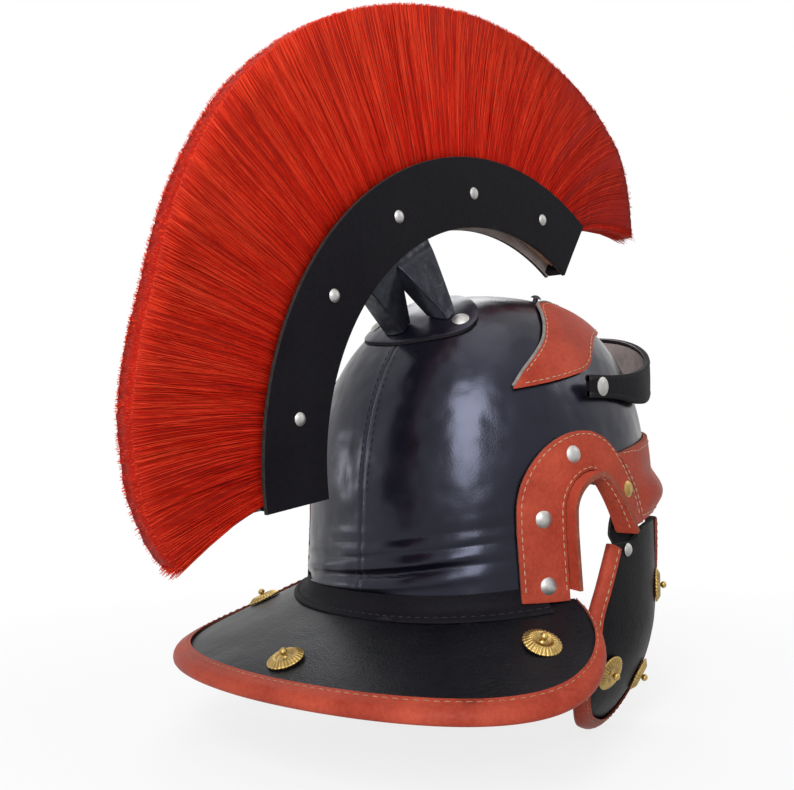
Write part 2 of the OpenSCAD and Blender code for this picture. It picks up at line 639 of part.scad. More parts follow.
// Outer edge of the hair at an angle, cut round at both ends
function hair_r(a) = crest_out_r + hair_l*lookup(a, hair_cut);
// Angle at the outer edge for an angle at the root
function fan_a(a) = let (t = (a - hair_from)/(hair_to - hair_from))
    a - (hair_front_fan + cap_a)*pow(1 - t, 4) + (hair_back_fan + cap_a)*pow(t, 6);

// Tuft: four-sided strands that rise side by side from a slice of the binding strip and part towards their tips
module hair_tuft(k) {
    a0 = hair_from + k*tuft_a;
    root_half = box_half - seat - 0.5;
    na = strand_rows;
    nw = strands_wide;
    part = 0.8;
    function at(a, r, h) = [r*cos(a), r*sin(a), h];
    function line_a(i) = a0 + tuft_a*mix(0.01, 0.99, i/na);
    function line_h(j) = root_half*(2*j/nw - 1);
    function tip(i, j, u, w) =
        let (am = line_a(i + 0.5), hm = line_h(j + 0.5)/root_half*hair_tip_w/2,
            r = hair_r(fan_a(am)) + 1 - 4*pow(sin(137.5*(i*nw + j + 7*k)), 2),
            da = (fan_a(line_a(i + 1)) - fan_a(line_a(i)))*part*u, dh = hair_tip_w/nw*part*w)
        at(fan_a(am) + da, r, hm + dh);
    roots = [for (i = [0:na], j = [0:nw]) at(line_a(i), strip_r2, line_h(j))];
    tips = [for (i = [0:na - 1], j = [0:nw - 1]) each
        [tip(i, j, -0.5, -0.5), tip(i, j, 0.5, -0.5), tip(i, j, 0.5, 0.5), tip(i, j, -0.5, 0.5)]];
    foot = [for (i = [0:na], h = [-root_half, root_half]) at(line_a(i), strip_r1, h)];
    nr = len(roots);
    nt = len(tips);
    function r(i, j) = i*(nw + 1) + j;
    function t(i, j, c) = nr + (i*nw + j)*4 + c;
    function f(i, c) = nr + nt + 2*i + c;
    function wall(p, q, s, u) = [[p, q, s], [p, s, u]];
    faces = concat(
        [for (i = [0:na - 1], j = [0:nw - 1]) each concat(
            wall(r(i, j), t(i, j, 0), t(i, j, 1), r(i + 1, j)),
            wall(r(i + 1, j), t(i, j, 1), t(i, j, 2), r(i + 1, j + 1)),
            wall(r(i + 1, j + 1), t(i, j, 2), t(i, j, 3), r(i, j + 1)),
            wall(r(i, j + 1), t(i, j, 3), t(i, j, 0), r(i, j)),
            wall(t(i, j, 3), t(i, j, 2), t(i, j, 1), t(i, j, 0)))],
        [for (i = [0:na - 1]) each concat(
            wall(f(i, 0), r(i, 0), r(i + 1, 0), f(i + 1, 0)),
            wall(f(i + 1, 1), r(i + 1, nw), r(i, nw), f(i, 1)),
            wall(f(i, 0), f(i + 1, 0), f(i + 1, 1), f(i, 1)))],
        [for (j = [0:nw - 1]) [f(0, 1), r(0, j + 1), r(0, j)]], [[f(0, 1), r(0, 0), f(0, 0)]],
        [for (j = [0:nw - 1]) [f(na, 1), r(na, j), r(na, j + 1)]], [[f(na, 1), f(na, 0), r(na, 0)]]
    );
    color([0.80, 0.16, 0.10]) crest_frame() polyhedron(concat(roots, tips, foot), faces, convexity = 10);
}
module hair_tuft_1() hair_tuft(0);
module hair_tuft_2() hair_tuft(1);
module hair_tuft_3() hair_tuft(2);
module hair_tuft_4() hair_tuft(3);
module hair_tuft_5() hair_tuft(4);
module hair_tuft_6() hair_tuft(5);
module hair_tuft_7() hair_tuft(6);
module hair_tuft_8() hair_tuft(7);
module hair_tuft_9() hair_tuft(8);

// Fork that carries the crest: a crown between the panels and two straps down to the base plate
function crest_point(a, r) = [0, crest_y - r*cos(a), crest_z + r*sin(a)];
module leg(a1, a2, x, y) {
    narrow = 2*box_half - 2*seat;
    function row(p, w) = [for (u = [-0.5, 0, 0.5]) p + [u*w, 0, 0]];
    function sole(w, d) = [for (u = [-0.5, 0, 0.5]) on_top(x + u*w, y + d, base_off + base_t + seat)];
    function side(a, d) =
        let (top = crest_point(a, crest_in_r - 1), foot = on_top(x, y + d, base_off + base_t + seat),
            low = mix(top, foot, 0.5))
        [row(crest_point(a, core_r1 + 6), narrow), row(top, narrow), row(mix(top, low, 0.35), narrow + 2),
            row(mix(top, foot, 0.55), mix(narrow, leg_foot_w, 0.8)), sole(leg_foot_w, d)];
    shell(side(a1, -leg_t/2), side(a2, leg_t/2));
}
module stand_fork() color([0.13, 0.13, 0.16]) union() {
    crest_frame() difference() {
        arc_block(core_r1, core_r2, crown_from, crown_to, 2*box_half - seat);
        crest_holes(rivet_shank_r + shank_slip);
    }
    leg(leg_front_a, leg_fork_a, -foot_front_x, foot_front_y);
    leg(leg_fork_a - 1, leg_rear_a, foot_rear_x, foot_rear_y);
}

// Oval base plate on the crown of the bowl
module stand_base() {
    function row(u, off) = let (l = base_half_l*pow(1 - pow(abs(u), 1.9), 1/1.9))
        [for (v = steps(-1, 1, 8)) on_top(u*base_half_w, base_y + v*l, off)];
    us = [-0.985, -0.9, -0.75, -0.5, -0.25, 0, 0.25, 0.5, 0.75, 0.9, 0.985];
    color([0.13, 0.13, 0.15])
        shell([for (u = us) row(u, base_off + base_t)], [for (u = us) row(u, base_off)]);
}
module stand_rivets() color([0.75, 0.75, 0.73]) for (w = [-1, 1])
    let (x = w*(base_half_w - 8.5), y = base_y + 2)
        stand_on(on_top(x, y, base_off + base_t + seat/2), top_normal(x, y)) rivet(base_rivet_r, base_t + bowl_t);

// Cheek guard: carries on the line of the bowl and draws in towards the chin
function cheek_k(z) = z > 0 ? 1 : 1 - cheek_draw*pow(-z/80, 1.9);
function on_cheek(a, z, off = 0) = let (r = (plan_r(a) + off)*cheek_k(z)) [-r*sin(a), -r*cos(a), z];
function cheek_normal(a, z) =
    unit(cross(on_cheek(a, z + 1) - on_cheek(a, z - 1), on_cheek(a + 1, z) - on_cheek(a - 1, z)));
cheek_rows = concat(steps(-cheek_tip_z, -cheek_tip_z + 8, 3), steps(-cheek_tip_z + 13, 32, 9), [hinge_z - 6.5]);
// Upper edge: level at the hinge and higher in front of it
cheek_top_line = [
    [50, cheek_top_z], [67, cheek_top_z - 1], [72, cheek_top_z - 2.3], [77, hinge_z + 1],
    [80, hinge_z - 1.4], [94, hinge_z - 1.4]
];
module cheek_plate() {
    marks = [0, 0.12, 0.25, 0.36, 0.44, 0.5, 0.58, 0.66, 0.73, 0.8, 0.9, 1];
    function face(off) = concat(
        [for (z = cheek_rows) [for (t = marks) on_cheek(mix(lookup(z, cheek_front), lookup(z, cheek_rear), t), z, off)]],
        [[for (t = marks) let (a = mix(lookup(cheek_top_z, cheek_front), lookup(hinge_z, cheek_rear), t))
            on_cheek(a, lookup(a, cheek_top_line), off)]]);
    shell(face(cheek_t), face(0));
}
module cheek_guard_right() color([0.10, 0.10, 0.11]) cheek_plate();
module cheek_guard_left() color([0.10, 0.10, 0.11]) mirrored() cheek_plate();

module cheek_binding() {
    rear_z = concat([hinge_z - 1.4], [for (i = [len(cheek_rows) - 1:-1:0]) cheek_rows[i]]);
    front_z = concat(cheek_rows, [46, cheek_top_z]);
    path = concat([for (z = rear_z) [lookup(z, cheek_rear), z]], [for (z = front_z) [lookup(z, cheek_front), z]]);
    n = len(path) - 1;
    mid = [for (p = path) on_cheek(p[0], p[1], cheek_t/2)];
    up = [for (p = path) [-sin(p[0]), -cos(p[0]), 0]];
    inward = [for (i = [0:n]) unit(cross(cheek_normal(path[i][0], path[i][1]), mid[min(n, i + 1)] - mid[max(0, i - 1)]))];
    folded_binding(mid, inward, up, cheek_t + 1.6*seat, binding_w*0.72);
}
module cheek_binding_right() color([0.74, 0.27, 0.20]) cheek_binding();
module cheek_binding_left() color([0.74, 0.27, 0.20]) mirrored() cheek_binding();

// Rosettes of a cheek guard: by the eye, at the jaw and by the chin
cheek_spots = [[55, 13], [92, -27], [63, -38]];
module cheek_rosettes() color([0.72, 0.56, 0.25]) for (s = cheek_spots)
    stand_on(on_cheek(s[0], s[1], cheek_t) + seat*cheek_normal(s[0], s[1]), cheek_normal(s[0], s[1])) rosette(cheek_t);
module cheek_rosettes_right() cheek_rosettes();
module cheek_rosettes_left() mirrored() cheek_rosettes();

// Hinge: a fixed tab that comes down from inside the bowl in front of the ear, and a tab on the cheek guard
hinge_a = bearing(-10, hinge_z);
tab_a = hinge_tab_w/plan_r(hinge_a)*180/PI;
module hinge_tab() {
    function grid(off) = [for (t = steps(0, 1, 6))
        [for (u = [-0.5, 0, 0.5]) on_bowl(hinge_a + u*tab_a - hinge_tab_lean*t*t, mix(hinge_z - 1, ear_top_z, t), off)]];
    shell(grid(-bowl_t - seat), grid(-bowl_t - seat - hinge_tab_t));
}
module hinge_tab_right() color([0.10, 0.10, 0.11]) hinge_tab();
module hinge_tab_left() color([0.10, 0.10, 0.11]) mirrored() hinge_tab();
module cheek_tab() {
    function grid(off) = [for (z = steps(hinge_z - hinge_tab_l, hinge_z - 0.8, 3))
        [for (u = [-0.5, 0, 0.5]) on_cheek(hinge_a + u*tab_a, z, off)]];
    shell(grid(-seat), grid(-seat - hinge_tab_t));
}
module cheek_tab_right() color([0.10, 0.10, 0.11]) cheek_tab();
module cheek_tab_left() color([0.10, 0.10, 0.11]) mirrored() cheek_tab();
module tab_rivet() color([0.7, 0.7, 0.7]) let (z = hinge_z - 5.5)
    stand_on(on_cheek(hinge_a, z, cheek_t + seat/2), cheek_normal(hinge_a, z)) rivet(ear_rivet_r - 1, cheek_t + hinge_tab_t);
module tab_rivet_right() tab_rivet();
module tab_rivet_left() mirrored() tab_rivet();

bowl_right();
bowl_left();
sweatband();
neck_guard();
neck_guard_binding();
neck_rosettes();
ear_plate_right();
ear_plate_left();
ear_flange_right();
ear_flange_left();
ear_rivets();
brow_band();
brow_rivets();
forehead_patch();
forehead_studs();
visor_strap();
visor_rivets();
crest_panel_right();
crest_panel_left();
crest_core_front();
crest_core_rear();
crest_cap_front();
crest_cap_rear();
crest_rivets();
hair_tuft_1();
hair_tuft_2();
hair_tuft_3();
hair_tuft_4();
hair_tuft_5();
hair_tuft_6();
hair_tuft_7();
hair_tuft_8();
hair_tuft_9();
stand_fork();
stand_base();
stand_rivets();
cheek_guard_right();
cheek_guard_left();
cheek_binding_right();
cheek_binding_left();
cheek_rosettes_right();
cheek_rosettes_left();
hinge_tab_right();
hinge_tab_left();
cheek_tab_right();
cheek_tab_left();
tab_rivet_right();
tab_rivet_left();
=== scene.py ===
"""Looks of the leather helmet: its leather, stitching, brass and crest hair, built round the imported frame.

Sizes are in millimetres, as in the part's source, and become metres where a mesh is made.
A bearing is 0 at the face and grows towards the wearer's right, so a point is (-r sin, -r cos).
In formulas a is a bearing or angle in degrees, r a distance from the axis, and x, y and z a place.
There off is how far a point stands off a surface, n is a count, and t, u and v run along or across a piece.
"""

import math

import bmesh
import bpy
import numpy as np
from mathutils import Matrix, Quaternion, Vector


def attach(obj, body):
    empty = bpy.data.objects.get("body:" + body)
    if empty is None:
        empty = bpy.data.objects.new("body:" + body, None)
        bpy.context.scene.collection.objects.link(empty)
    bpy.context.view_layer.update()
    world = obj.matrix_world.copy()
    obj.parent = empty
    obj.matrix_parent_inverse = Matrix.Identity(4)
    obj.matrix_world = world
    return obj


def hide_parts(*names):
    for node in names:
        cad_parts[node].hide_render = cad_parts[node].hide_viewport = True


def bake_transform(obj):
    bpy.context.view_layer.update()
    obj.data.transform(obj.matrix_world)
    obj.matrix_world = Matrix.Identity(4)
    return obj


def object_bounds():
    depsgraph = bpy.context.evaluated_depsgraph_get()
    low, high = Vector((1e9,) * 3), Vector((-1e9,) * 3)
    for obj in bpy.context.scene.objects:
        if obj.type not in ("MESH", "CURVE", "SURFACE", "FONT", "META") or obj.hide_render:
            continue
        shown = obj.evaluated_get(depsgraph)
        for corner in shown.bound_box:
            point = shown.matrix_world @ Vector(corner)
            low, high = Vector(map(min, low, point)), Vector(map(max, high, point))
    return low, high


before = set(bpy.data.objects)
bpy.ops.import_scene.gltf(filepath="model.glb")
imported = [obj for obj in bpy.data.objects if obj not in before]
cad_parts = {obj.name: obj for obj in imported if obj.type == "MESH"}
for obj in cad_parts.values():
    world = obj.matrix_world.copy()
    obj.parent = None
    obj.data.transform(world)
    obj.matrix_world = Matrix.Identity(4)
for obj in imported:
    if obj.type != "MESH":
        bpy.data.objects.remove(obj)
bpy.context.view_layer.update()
MM = 0.001
BODY = "helmet"
SIDES = {"right": 1, "left": -1}

# Camera
CAMERA_AZIMUTH, CAMERA_ELEVATION, CAMERA_ROLL = -136.16, -1.29, -0.73
CAMERA_TARGET = Vector((0, 0.07089, 0.12899))
CAMERA_DISTANCE = 0.63201
CAMERA_LENS, SENSOR_W, CLIP_START = 49.82, 36, 0.01


def add_object(name, data):
    made = bpy.data.objects.new(name, data)
    bpy.context.scene.collection.objects.link(made)
    return made


def direction(azimuth, elevation):
    """Unit vector from the helmet towards an azimuth and elevation in degrees."""
    turn, rise = math.radians(azimuth), math.radians(elevation)
    return Vector((math.sin(turn) * math.cos(rise), -math.cos(turn) * math.cos(rise), math.sin(rise)))


def make_camera():
    data = bpy.data.cameras.new("camera")
    data.sensor_width, data.lens, data.clip_start = SENSOR_W, CAMERA_LENS, CLIP_START
    camera = add_object("camera", data)
    back = direction(CAMERA_AZIMUTH, CAMERA_ELEVATION)
    camera.location = CAMERA_TARGET + back * CAMERA_DISTANCE
    roll = Quaternion((0, 0, 1), math.radians(CAMERA_ROLL))
    camera.rotation_euler = ((-back).to_track_quat("-Z", "Y") @ roll).to_euler()
    bpy.context.scene.camera = camera


make_camera()


# Materials
LEATHER_GRAIN, LEATHER_PORES, RAW_FIBRE, METAL_CLOUD, METAL_GRAIN = 420, 950.0, 700, 160, 1500


def node(tree, kind, inputs=None, **props):
    """A shader node with its properties set and its inputs filled or linked."""
    made = tree.nodes.new("ShaderNode" + kind)
    for key, value in props.items():
        setattr(made, key, value)
    for key, value in (inputs or {}).items():
        if isinstance(value, bpy.types.NodeSocket):
            tree.links.new(value, made.inputs[key])
        else:
            made.inputs[key].default_value = value
    return made


def rgba(colour):
    return (*colour, 1)


def new_material(name, **sockets):
    made = bpy.data.materials.new(name)
    made.use_nodes = True
    shader = made.node_tree.nodes["Principled BSDF"]
    for key, value in sockets.items():
        shader.inputs[key.replace("_", " ")].default_value = value
    return made, made.node_tree, shader


def place(tree):
    return node(tree, "TexCoord").outputs["Object"]


def noise(tree, where, scale, detail=3.0, rough=0.5):
    inputs = {"Vector": where, "Scale": scale, "Detail": detail, "Roughness": rough}
    return node(tree, "TexNoise", inputs).outputs["Fac"]


def maths(tree, operation, a, b=0.0):
    return node(tree, "Math", {0: a, 1: b}, operation=operation).outputs[0]


def weighted(tree, *parts):
    """Sum of the values, each times its weight."""
    total = 0.0
    for value, weight in parts:
        total = node(tree, "Math", {0: value, 1: weight, 2: total}, operation="MULTIPLY_ADD").outputs[0]
    return total


def ramp(tree, value, stops):
    made = node(tree, "ValToRGB", {"Fac": value})
    band = made.color_ramp
    while len(band.elements) < len(stops):
        band.elements.new(0.5)
    for element, (at, colour) in zip(band.elements, stops):
        element.position, element.color = at, rgba(colour)
    return made.outputs["Color"]


def spread(tree, value, low, high, start=0.3, end=0.7):
    return node(tree, "MapRange", {0: value, 1: start, 2: end, 3: low, 4: high}).outputs[0]


def blend_colour(tree, share, a, b):
    made = node(tree, "Mix", {0: share}, data_type="RGBA")
    for index, value in ((6, a), (7, b)):
        if isinstance(value, bpy.types.NodeSocket):
            tree.links.new(value, made.inputs[index])
        else:
            made.inputs[index].default_value = rgba(value)
    return made.outputs[2]


def dress(tree, shader, bumps, **links):
    """Link values to the shader's inputs, and lay bumps (height, strength, distance) one over the other."""
    for key, value in links.items():
        tree.links.new(value, shader.inputs[key.replace("_", " ")])
    normal = None
    for height, strength, distance in bumps:
        inputs = {"Height": height, "Strength": strength, "Distance": distance}
        if normal:
            inputs["Normal"] = normal
        normal = node(tree, "Bump", inputs).outputs["Normal"]
    tree.links.new(normal, shader.inputs["Normal"])


def leather(name, dark, light, worn, rough, grain=0.25, sway=0.3, cloud_scale=22, detail=4.0, **sockets):
    """Dyed leather: clouded dye, fine pores, hand-worked sway and wear on its edges."""
    made, tree, shader = new_material(name, **sockets)
    where = place(tree)
    cloud = noise(tree, where, cloud_scale, detail)
    fine = noise(tree, where, LEATHER_GRAIN, 3)
    cells = node(tree, "TexVoronoi", {"Vector": where, "Scale": LEATHER_PORES}, feature="F1")
    dye = ramp(tree, weighted(tree, (cloud, 0.7), (fine, 0.3)), [(0.36, dark), (0.66, light)])
    point = node(tree, "NewGeometry").outputs["Pointiness"]
    wear = maths(tree, "MULTIPLY", spread(tree, point, 0.0, 1.0, 0.53, 0.62), spread(tree, fine, 0.15, 0.9))
    pores = cells.outputs["Distance"]
    dress(tree, shader, [(cloud, sway, 0.004), (fine, grain, 0.0004), (pores, grain, 0.0005)],
          Base_Color=blend_colour(tree, wear, dye, worn),
          Roughness=spread(tree, cloud, rough - 0.07, rough + 0.09))
    return made


def metal(name, dark, light, rough, scratch=0.2, **sockets):
    made, tree, shader = new_material(name, Metallic=1.0, **sockets)
    where = place(tree)
    cloud, fine = noise(tree, where, METAL_CLOUD, 4), noise(tree, where, METAL_GRAIN, 3)
    point = node(tree, "NewGeometry").outputs["Pointiness"]
    high = weighted(tree, (cloud, 0.6), (spread(tree, point, 0.0, 0.4, 0.42, 0.58), 1.0))
    dress(tree, shader, [(cloud, scratch, 0.0006), (fine, scratch, 0.0002)],
          Base_Color=ramp(tree, high, [(0.25, dark), (0.6, light)]),
          Roughness=spread(tree, cloud, rough + 0.12, rough - 0.05))
    return made


def raw_leather(name, dark, light, scale=60):
    """Undyed flesh side of leather: matt and fibrous."""
    made, tree, shader = new_material(name, Specular_IOR_Level=0.2)
    where = place(tree)
    cloud, fibre = noise(tree, where, scale, 5, 0.6), noise(tree, where, RAW_FIBRE, 4, 0.7)
    tone = weighted(tree, (cloud, 0.6), (fibre, 0.4))
    dress(tree, shader, [(cloud, 0.2, 0.002), (fibre, 0.5, 0.0006)],
          Base_Color=ramp(tree, tone, [(0.34, dark), (0.66, light)]),
          Roughness=spread(tree, fibre, 0.78, 0.95))
    return made


# Hair tones: the first row is for the packed hair under the strands, darker than the strands as painted shade
# between them; the second row is the strands' own.
HAIR_TONES = [
    [(0.30, (0.050, 0.002, 0.002)), (0.55, (0.25, 0.007, 0.003)), (0.85, (0.42, 0.014, 0.005))],
    [(0.28, (0.13, 0.003, 0.002)), (0.50, (0.40, 0.008, 0.003)), (0.72, (0.58, 0.016, 0.005)),
     (0.95, (0.76, 0.055, 0.019))],
]
HAIR_GRAIN = (60.0, 26.0, 90.0)
CREST_Y, CREST_Z = -8.3, 91.7


def hair_material(name, depth):
    """Dyed horsehair: each strand has its own tone, and the tips are brighter than the roots. With depth 0 it
    is the packed hair under the strands, in darker tones without a tone per strand: painted shade in the gaps
    between the strands.
    """
    made, tree, shader = new_material(name, Specular_IOR_Level=0.06, Roughness=0.5)
    centre = (0, -CREST_Y * MM, -CREST_Z * MM)
    where = node(tree, "VectorMath", {0: place(tree), 1: centre}, operation="ADD").outputs[0]
    x, y, z = node(tree, "SeparateXYZ", {0: where}).outputs
    radius = maths(tree, "SQRT", weighted(tree, (y, y), (z, z)))
    round_crest = node(tree, "CombineXYZ", {0: maths(tree, "ARCTAN2", z, y), 1: radius, 2: x}).outputs[0]
    polar = node(tree, "VectorMath", {0: round_crest, 1: HAIR_GRAIN}, operation="MULTIPLY").outputs[0]
    lock = noise(tree, polar, 1.0, 4, 0.6)
    streak = noise(tree, polar, 7.0, 3, 0.6)
    strand = node(tree, "NewGeometry").outputs["Random Per Island"]
    tip = spread(tree, radius, 0.08, 0.34, 0.185, 0.275)
    tone = weighted(tree, (lock, 0.55), (streak, 0.35), (strand, 0.28 if depth else 0.0), (tip, 1.0))
    dress(tree, shader, [(streak, 0.5, 0.0006)], Base_Color=ramp(tree, tone, HAIR_TONES[depth]))
    return made


BLACK = leather("black_leather", (0.0015, 0.0013, 0.003), (0.0042, 0.0038, 0.008), (0.03, 0.028, 0.028),
                rough=0.26, grain=0.05, sway=0.6, cloud_scale=30, detail=2.0, Specular_IOR_Level=0.40,
                Specular_Tint=rgba((0.74, 0.77, 1.0)))
BLACK_MATT = leather("black_leather_plain", (0.005, 0.004, 0.006), (0.010, 0.009, 0.011),
                     (0.04, 0.036, 0.034), rough=0.6, grain=0.3, sway=0.25, Specular_IOR_Level=0.06)
GUARD_BLACK = leather("black_leather_worn", (0.003, 0.003, 0.004), (0.009, 0.009, 0.011),
                      (0.04, 0.036, 0.033), rough=0.34, grain=0.25, sway=0.5, cloud_scale=16,
                      Specular_IOR_Level=0.12, Specular_Tint=rgba((0.85, 0.9, 1.0)))
CHEEK_BLACK = leather("black_leather_cheek", (0.004, 0.004, 0.005), (0.009, 0.009, 0.011),
                      (0.04, 0.036, 0.033), rough=0.42, grain=0.25, sway=0.4, cloud_scale=16,
                      Specular_IOR_Level=0.04)
STRAP = leather("black_leather_strap", (0.006, 0.006, 0.008), (0.014, 0.014, 0.018), (0.05, 0.05, 0.055),
                rough=0.27, grain=0.12, sway=0.6, cloud_scale=50, detail=2.0, Specular_IOR_Level=0.3,
                Specular_Tint=rgba((0.75, 0.82, 1.0)))
RED = leather("red_leather", (0.31, 0.040, 0.022), (0.48, 0.078, 0.042), (0.17, 0.028, 0.016),
              rough=0.42, grain=0.3, sway=0.3, cloud_scale=35, Specular_IOR_Level=0.06)
RED_EDGE = raw_leather("red_leather_edge", (0.20, 0.045, 0.028), (0.36, 0.11, 0.065), 300)
BLACK_EDGE = raw_leather("black_leather_edge", (0.010, 0.009, 0.009), (0.04, 0.034, 0.03), 300)
FLESH = raw_leather("raw_leather", (0.25, 0.21, 0.19), (0.48, 0.41, 0.38))
CORE = raw_leather("raw_leather_core", (0.24, 0.13, 0.075), (0.58, 0.40, 0.25), 90)
PIPING = raw_leather("grey_piping", (0.16, 0.14, 0.12), (0.34, 0.31, 0.28), 300)
THREAD = raw_leather("cream_thread", (0.36, 0.20, 0.12), (0.62, 0.43, 0.29), 500)
GUARD_THREAD = raw_leather("tan_thread", (0.30, 0.12, 0.07), (0.52, 0.28, 0.17), 500)
BLACK_THREAD = raw_leather("black_thread", (0.012, 0.012, 0.014), (0.035, 0.035, 0.04), 500)
STEEL = metal("rivet_steel", (0.22, 0.22, 0.22), (0.43, 0.42, 0.40), 0.5)
BRASS = metal("brass", (0.10, 0.062, 0.018), (0.44, 0.30, 0.10), 0.38)
STUD = metal("black_metal", (0.015, 0.015, 0.016), (0.05, 0.05, 0.052), 0.4)
# The second hair material is the same hair painted darker, as the shade in the gaps between the strands.
HAIR, HAIR_MASS_PAINTED_SHADE = hair_material("crest_hair", 1), hair_material("crest_hair_painted_shade", 0)
RED_FACES = [RED, RED, RED_EDGE]
SLOTS = {"black_leather": [BLACK, GUARD_BLACK, CHEEK_BLACK, STRAP],
         "black_leather_plain": [BLACK_MATT, BLACK_THREAD],
         "red_leather": [RED, THREAD, GUARD_THREAD], "raw_leather": [CORE, PIPING], "crest_hair": [HAIR],
         "brass": [BRASS]}
SLOT_OF = {made: slot for slot, all_made in SLOTS.items() for made in all_made}


# Meshes
def unit(v):
    return v / np.maximum(np.linalg.norm(v, axis=-1, keepdims=True), 1e-9)


def mix(a, b, t):
    return a + (b - a) * t


def sin(degrees):
    return np.sin(np.radians(degrees))


def cos(degrees):
    return np.cos(np.radians(degrees))


def row(first, last, count):
    return np.linspace(first, last, count)[None]


def column(first, last, count, **how):
    return np.linspace(first, last, count, **how)[:, None]


def spaced(start, *spans):
    """Values from a start on; each span (end, steps) goes on to its end in even steps."""
    values = [start]
    for end, steps in spans:
        values.extend(np.linspace(values[-1], end, steps + 1)[1:])
    return np.array(values)


def at_bearing(a, r, z):
    return np.stack(np.broadcast_arrays(-r * sin(a), -r * cos(a), z), -1)


def spline(points, per):
    """Curve through the points, with per steps between neighbours."""
    knots = np.asarray(points, float)
    knots = np.vstack([2 * knots[0] - knots[1], knots, 2 * knots[-1] - knots[-2]])
    t = column(0, 1, per, endpoint=False)
    parts = [0.5 * (2 * b + (c - a) * t + (2 * a - 5 * b + 4 * c - d) * t**2 + (3 * b - a - 3 * c + d) * t**3)
             for a, b, c, d in zip(knots, knots[1:], knots[2:], knots[3:])]
    return np.vstack([*parts, knots[-2:-1]])


def build(name, verts, faces, materials, face_mat=None, nodes=(), slot=None, bevel=0, body=BODY):
    """One closed piece on a body, standing for CAD nodes. Its slot is not used."""
    mesh = bpy.data.meshes.new(name)
    mesh.from_pydata((verts * MM).tolist(), [], faces if isinstance(faces, list) else faces.tolist())
    for made in materials:
        mesh.materials.append(made)
    if face_mat is not None:
        mesh.polygons.foreach_set("material_index", np.asarray(face_mat, dtype=np.int32))
    mesh.validate()
    work = bmesh.new()
    work.from_mesh(mesh)
    bmesh.ops.remove_doubles(work, verts=work.verts, dist=1e-7)
    bmesh.ops.recalc_face_normals(work, faces=work.faces)
    work.to_mesh(mesh)
    work.free()
    mesh.shade_smooth()
    piece = add_object(name, mesh)
    if bevel:
        edge = piece.modifiers.new("edges", "BEVEL")
        edge.width, edge.segments, edge.harden_normals = bevel * MM, 3, True
        edge.limit_method, edge.angle_limit = "ANGLE", math.radians(50)
    if body:
        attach(piece, body)
    if nodes:
        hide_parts(*([nodes] if isinstance(nodes, str) else nodes))
    slot or SLOT_OF[materials[0]]
    return piece


def shell_mesh(outer, inner, loop=False):
    """Vertices, faces and face kinds (0 outer, 1 inner, 2 rim) of a shell between two grids of points."""
    rows, cols = outer.shape[:2]
    i, j = np.meshgrid(np.arange(rows if loop else rows - 1), np.arange(cols - 1), indexing="ij")
    n = rows * cols

    def at(i, j):
        return (i % rows) * cols + j

    face = np.stack([at(i, j), at(i + 1, j), at(i + 1, j + 1), at(i, j + 1)], -1).reshape(-1, 4)
    faces, kinds = [face, face[:, ::-1] + n], [0] * len(face) + [1] * len(face)
    i, j = np.arange(rows if loop else rows - 1), np.arange(cols - 1)
    rims = [(at(i, 0), at(i + 1, 0)), (at(i + 1, cols - 1), at(i, cols - 1))]
    if not loop:
        rims += [(at(0, j + 1), at(0, j)), (at(rows - 1, j), at(rows - 1, j + 1))]
    for a, b in rims:
        faces.append(np.stack([a + 0 * b, a + n, b + n, b + 0 * a], -1))
        kinds += [2] * len(faces[-1])
    return np.vstack([outer.reshape(-1, 3), inner.reshape(-1, 3)]), np.vstack(faces), kinds


def shell(name, outer, inner, materials, loop=False, **how):
    verts, faces, kinds = shell_mesh(outer, inner, loop)
    return build(name, verts, faces, materials, np.minimum(kinds, len(materials) - 1), **how)


def joined(parts):
    """Several (vertices, faces) as one."""
    verts, faces, start = [], [], 0
    for v, f in parts:
        verts.append(v)
        faces.append(f + start)
        start += len(v)
    return np.vstack(verts), np.vstack(faces)


def ring_quads(rings, sides):
    """Faces between neighbouring rings of points, each ring with as many sides."""
    i, j = np.meshgrid(np.arange(rings - 1), np.arange(sides), indexing="ij")
    here, there = i * sides + j, i * sides + (j + 1) % sides
    return np.stack([here, there, there + sides, here + sides], -1).reshape(-1, 4)


def tube(path, across, up, radius, sides=6):
    """Closed tube along a path, with an even number of sides; its radius may change along it."""
    turn = np.arange(sides) * 360 / sides
    ring = cos(turn)[:, None] * across[..., None, :] + sin(turn)[:, None] * up[..., None, :]
    points = path[..., None, :] + ring * np.asarray(radius)[..., None, None]
    cap = np.array([[0, k, k + 1, k + 2] for k in range(1, sides - 2, 2)])
    far_cap = cap[:, ::-1] + (len(path) - 1) * sides
    return points.reshape(-1, 3), np.vstack([ring_quads(len(path), sides), cap, far_cap])


def length_along(path):
    return np.concatenate([[0], np.cumsum(np.linalg.norm(np.diff(path, axis=0), axis=1))])


def stitches(path, normals, pitch=4.4, length=3.1, radius=0.33, slant=0.0):
    """Row of thread stitches that lie on a surface along a path and dive in at their ends."""
    lengths = length_along(path)
    starts = np.arange(pitch / 2, lengths[-1] - pitch / 2, pitch)
    u = np.array([-1, -0.8, -0.4, 0, 0.4, 0.8, 1])
    along = starts[:, None] + u * length / 2

    def at(values):
        return np.stack([np.interp(along, lengths, values[:, k]) for k in range(3)], -1)

    normal, tangent = unit(at(normals)), unit(at(np.gradient(path, axis=0)))
    across = unit(np.cross(tangent, normal))
    centre = at(path) + normal * (radius * (0.55 - 1.1 * u**4))[:, None] + across * (slant * u)[:, None]
    swell = radius * np.sqrt(1 - 0.75 * u**2)
    return joined([tube(*one, swell) for one in zip(centre, across, normal)])


def surface_normals(grid, outside):
    """Normals of a grid of points, on the side that outside points to."""
    normal = unit(np.cross(np.gradient(grid, axis=0), np.gradient(grid, axis=1)))
    return normal * np.sign(np.sum(normal * outside, -1, keepdims=True) + 1e-12)


def side_of(points, side):
    """The points as they are for the right side, and mirrored for the left."""
    return points * np.array([side, 1, 1])


def both_sides(make):
    for word, side in SIDES.items():
        make(word, side)


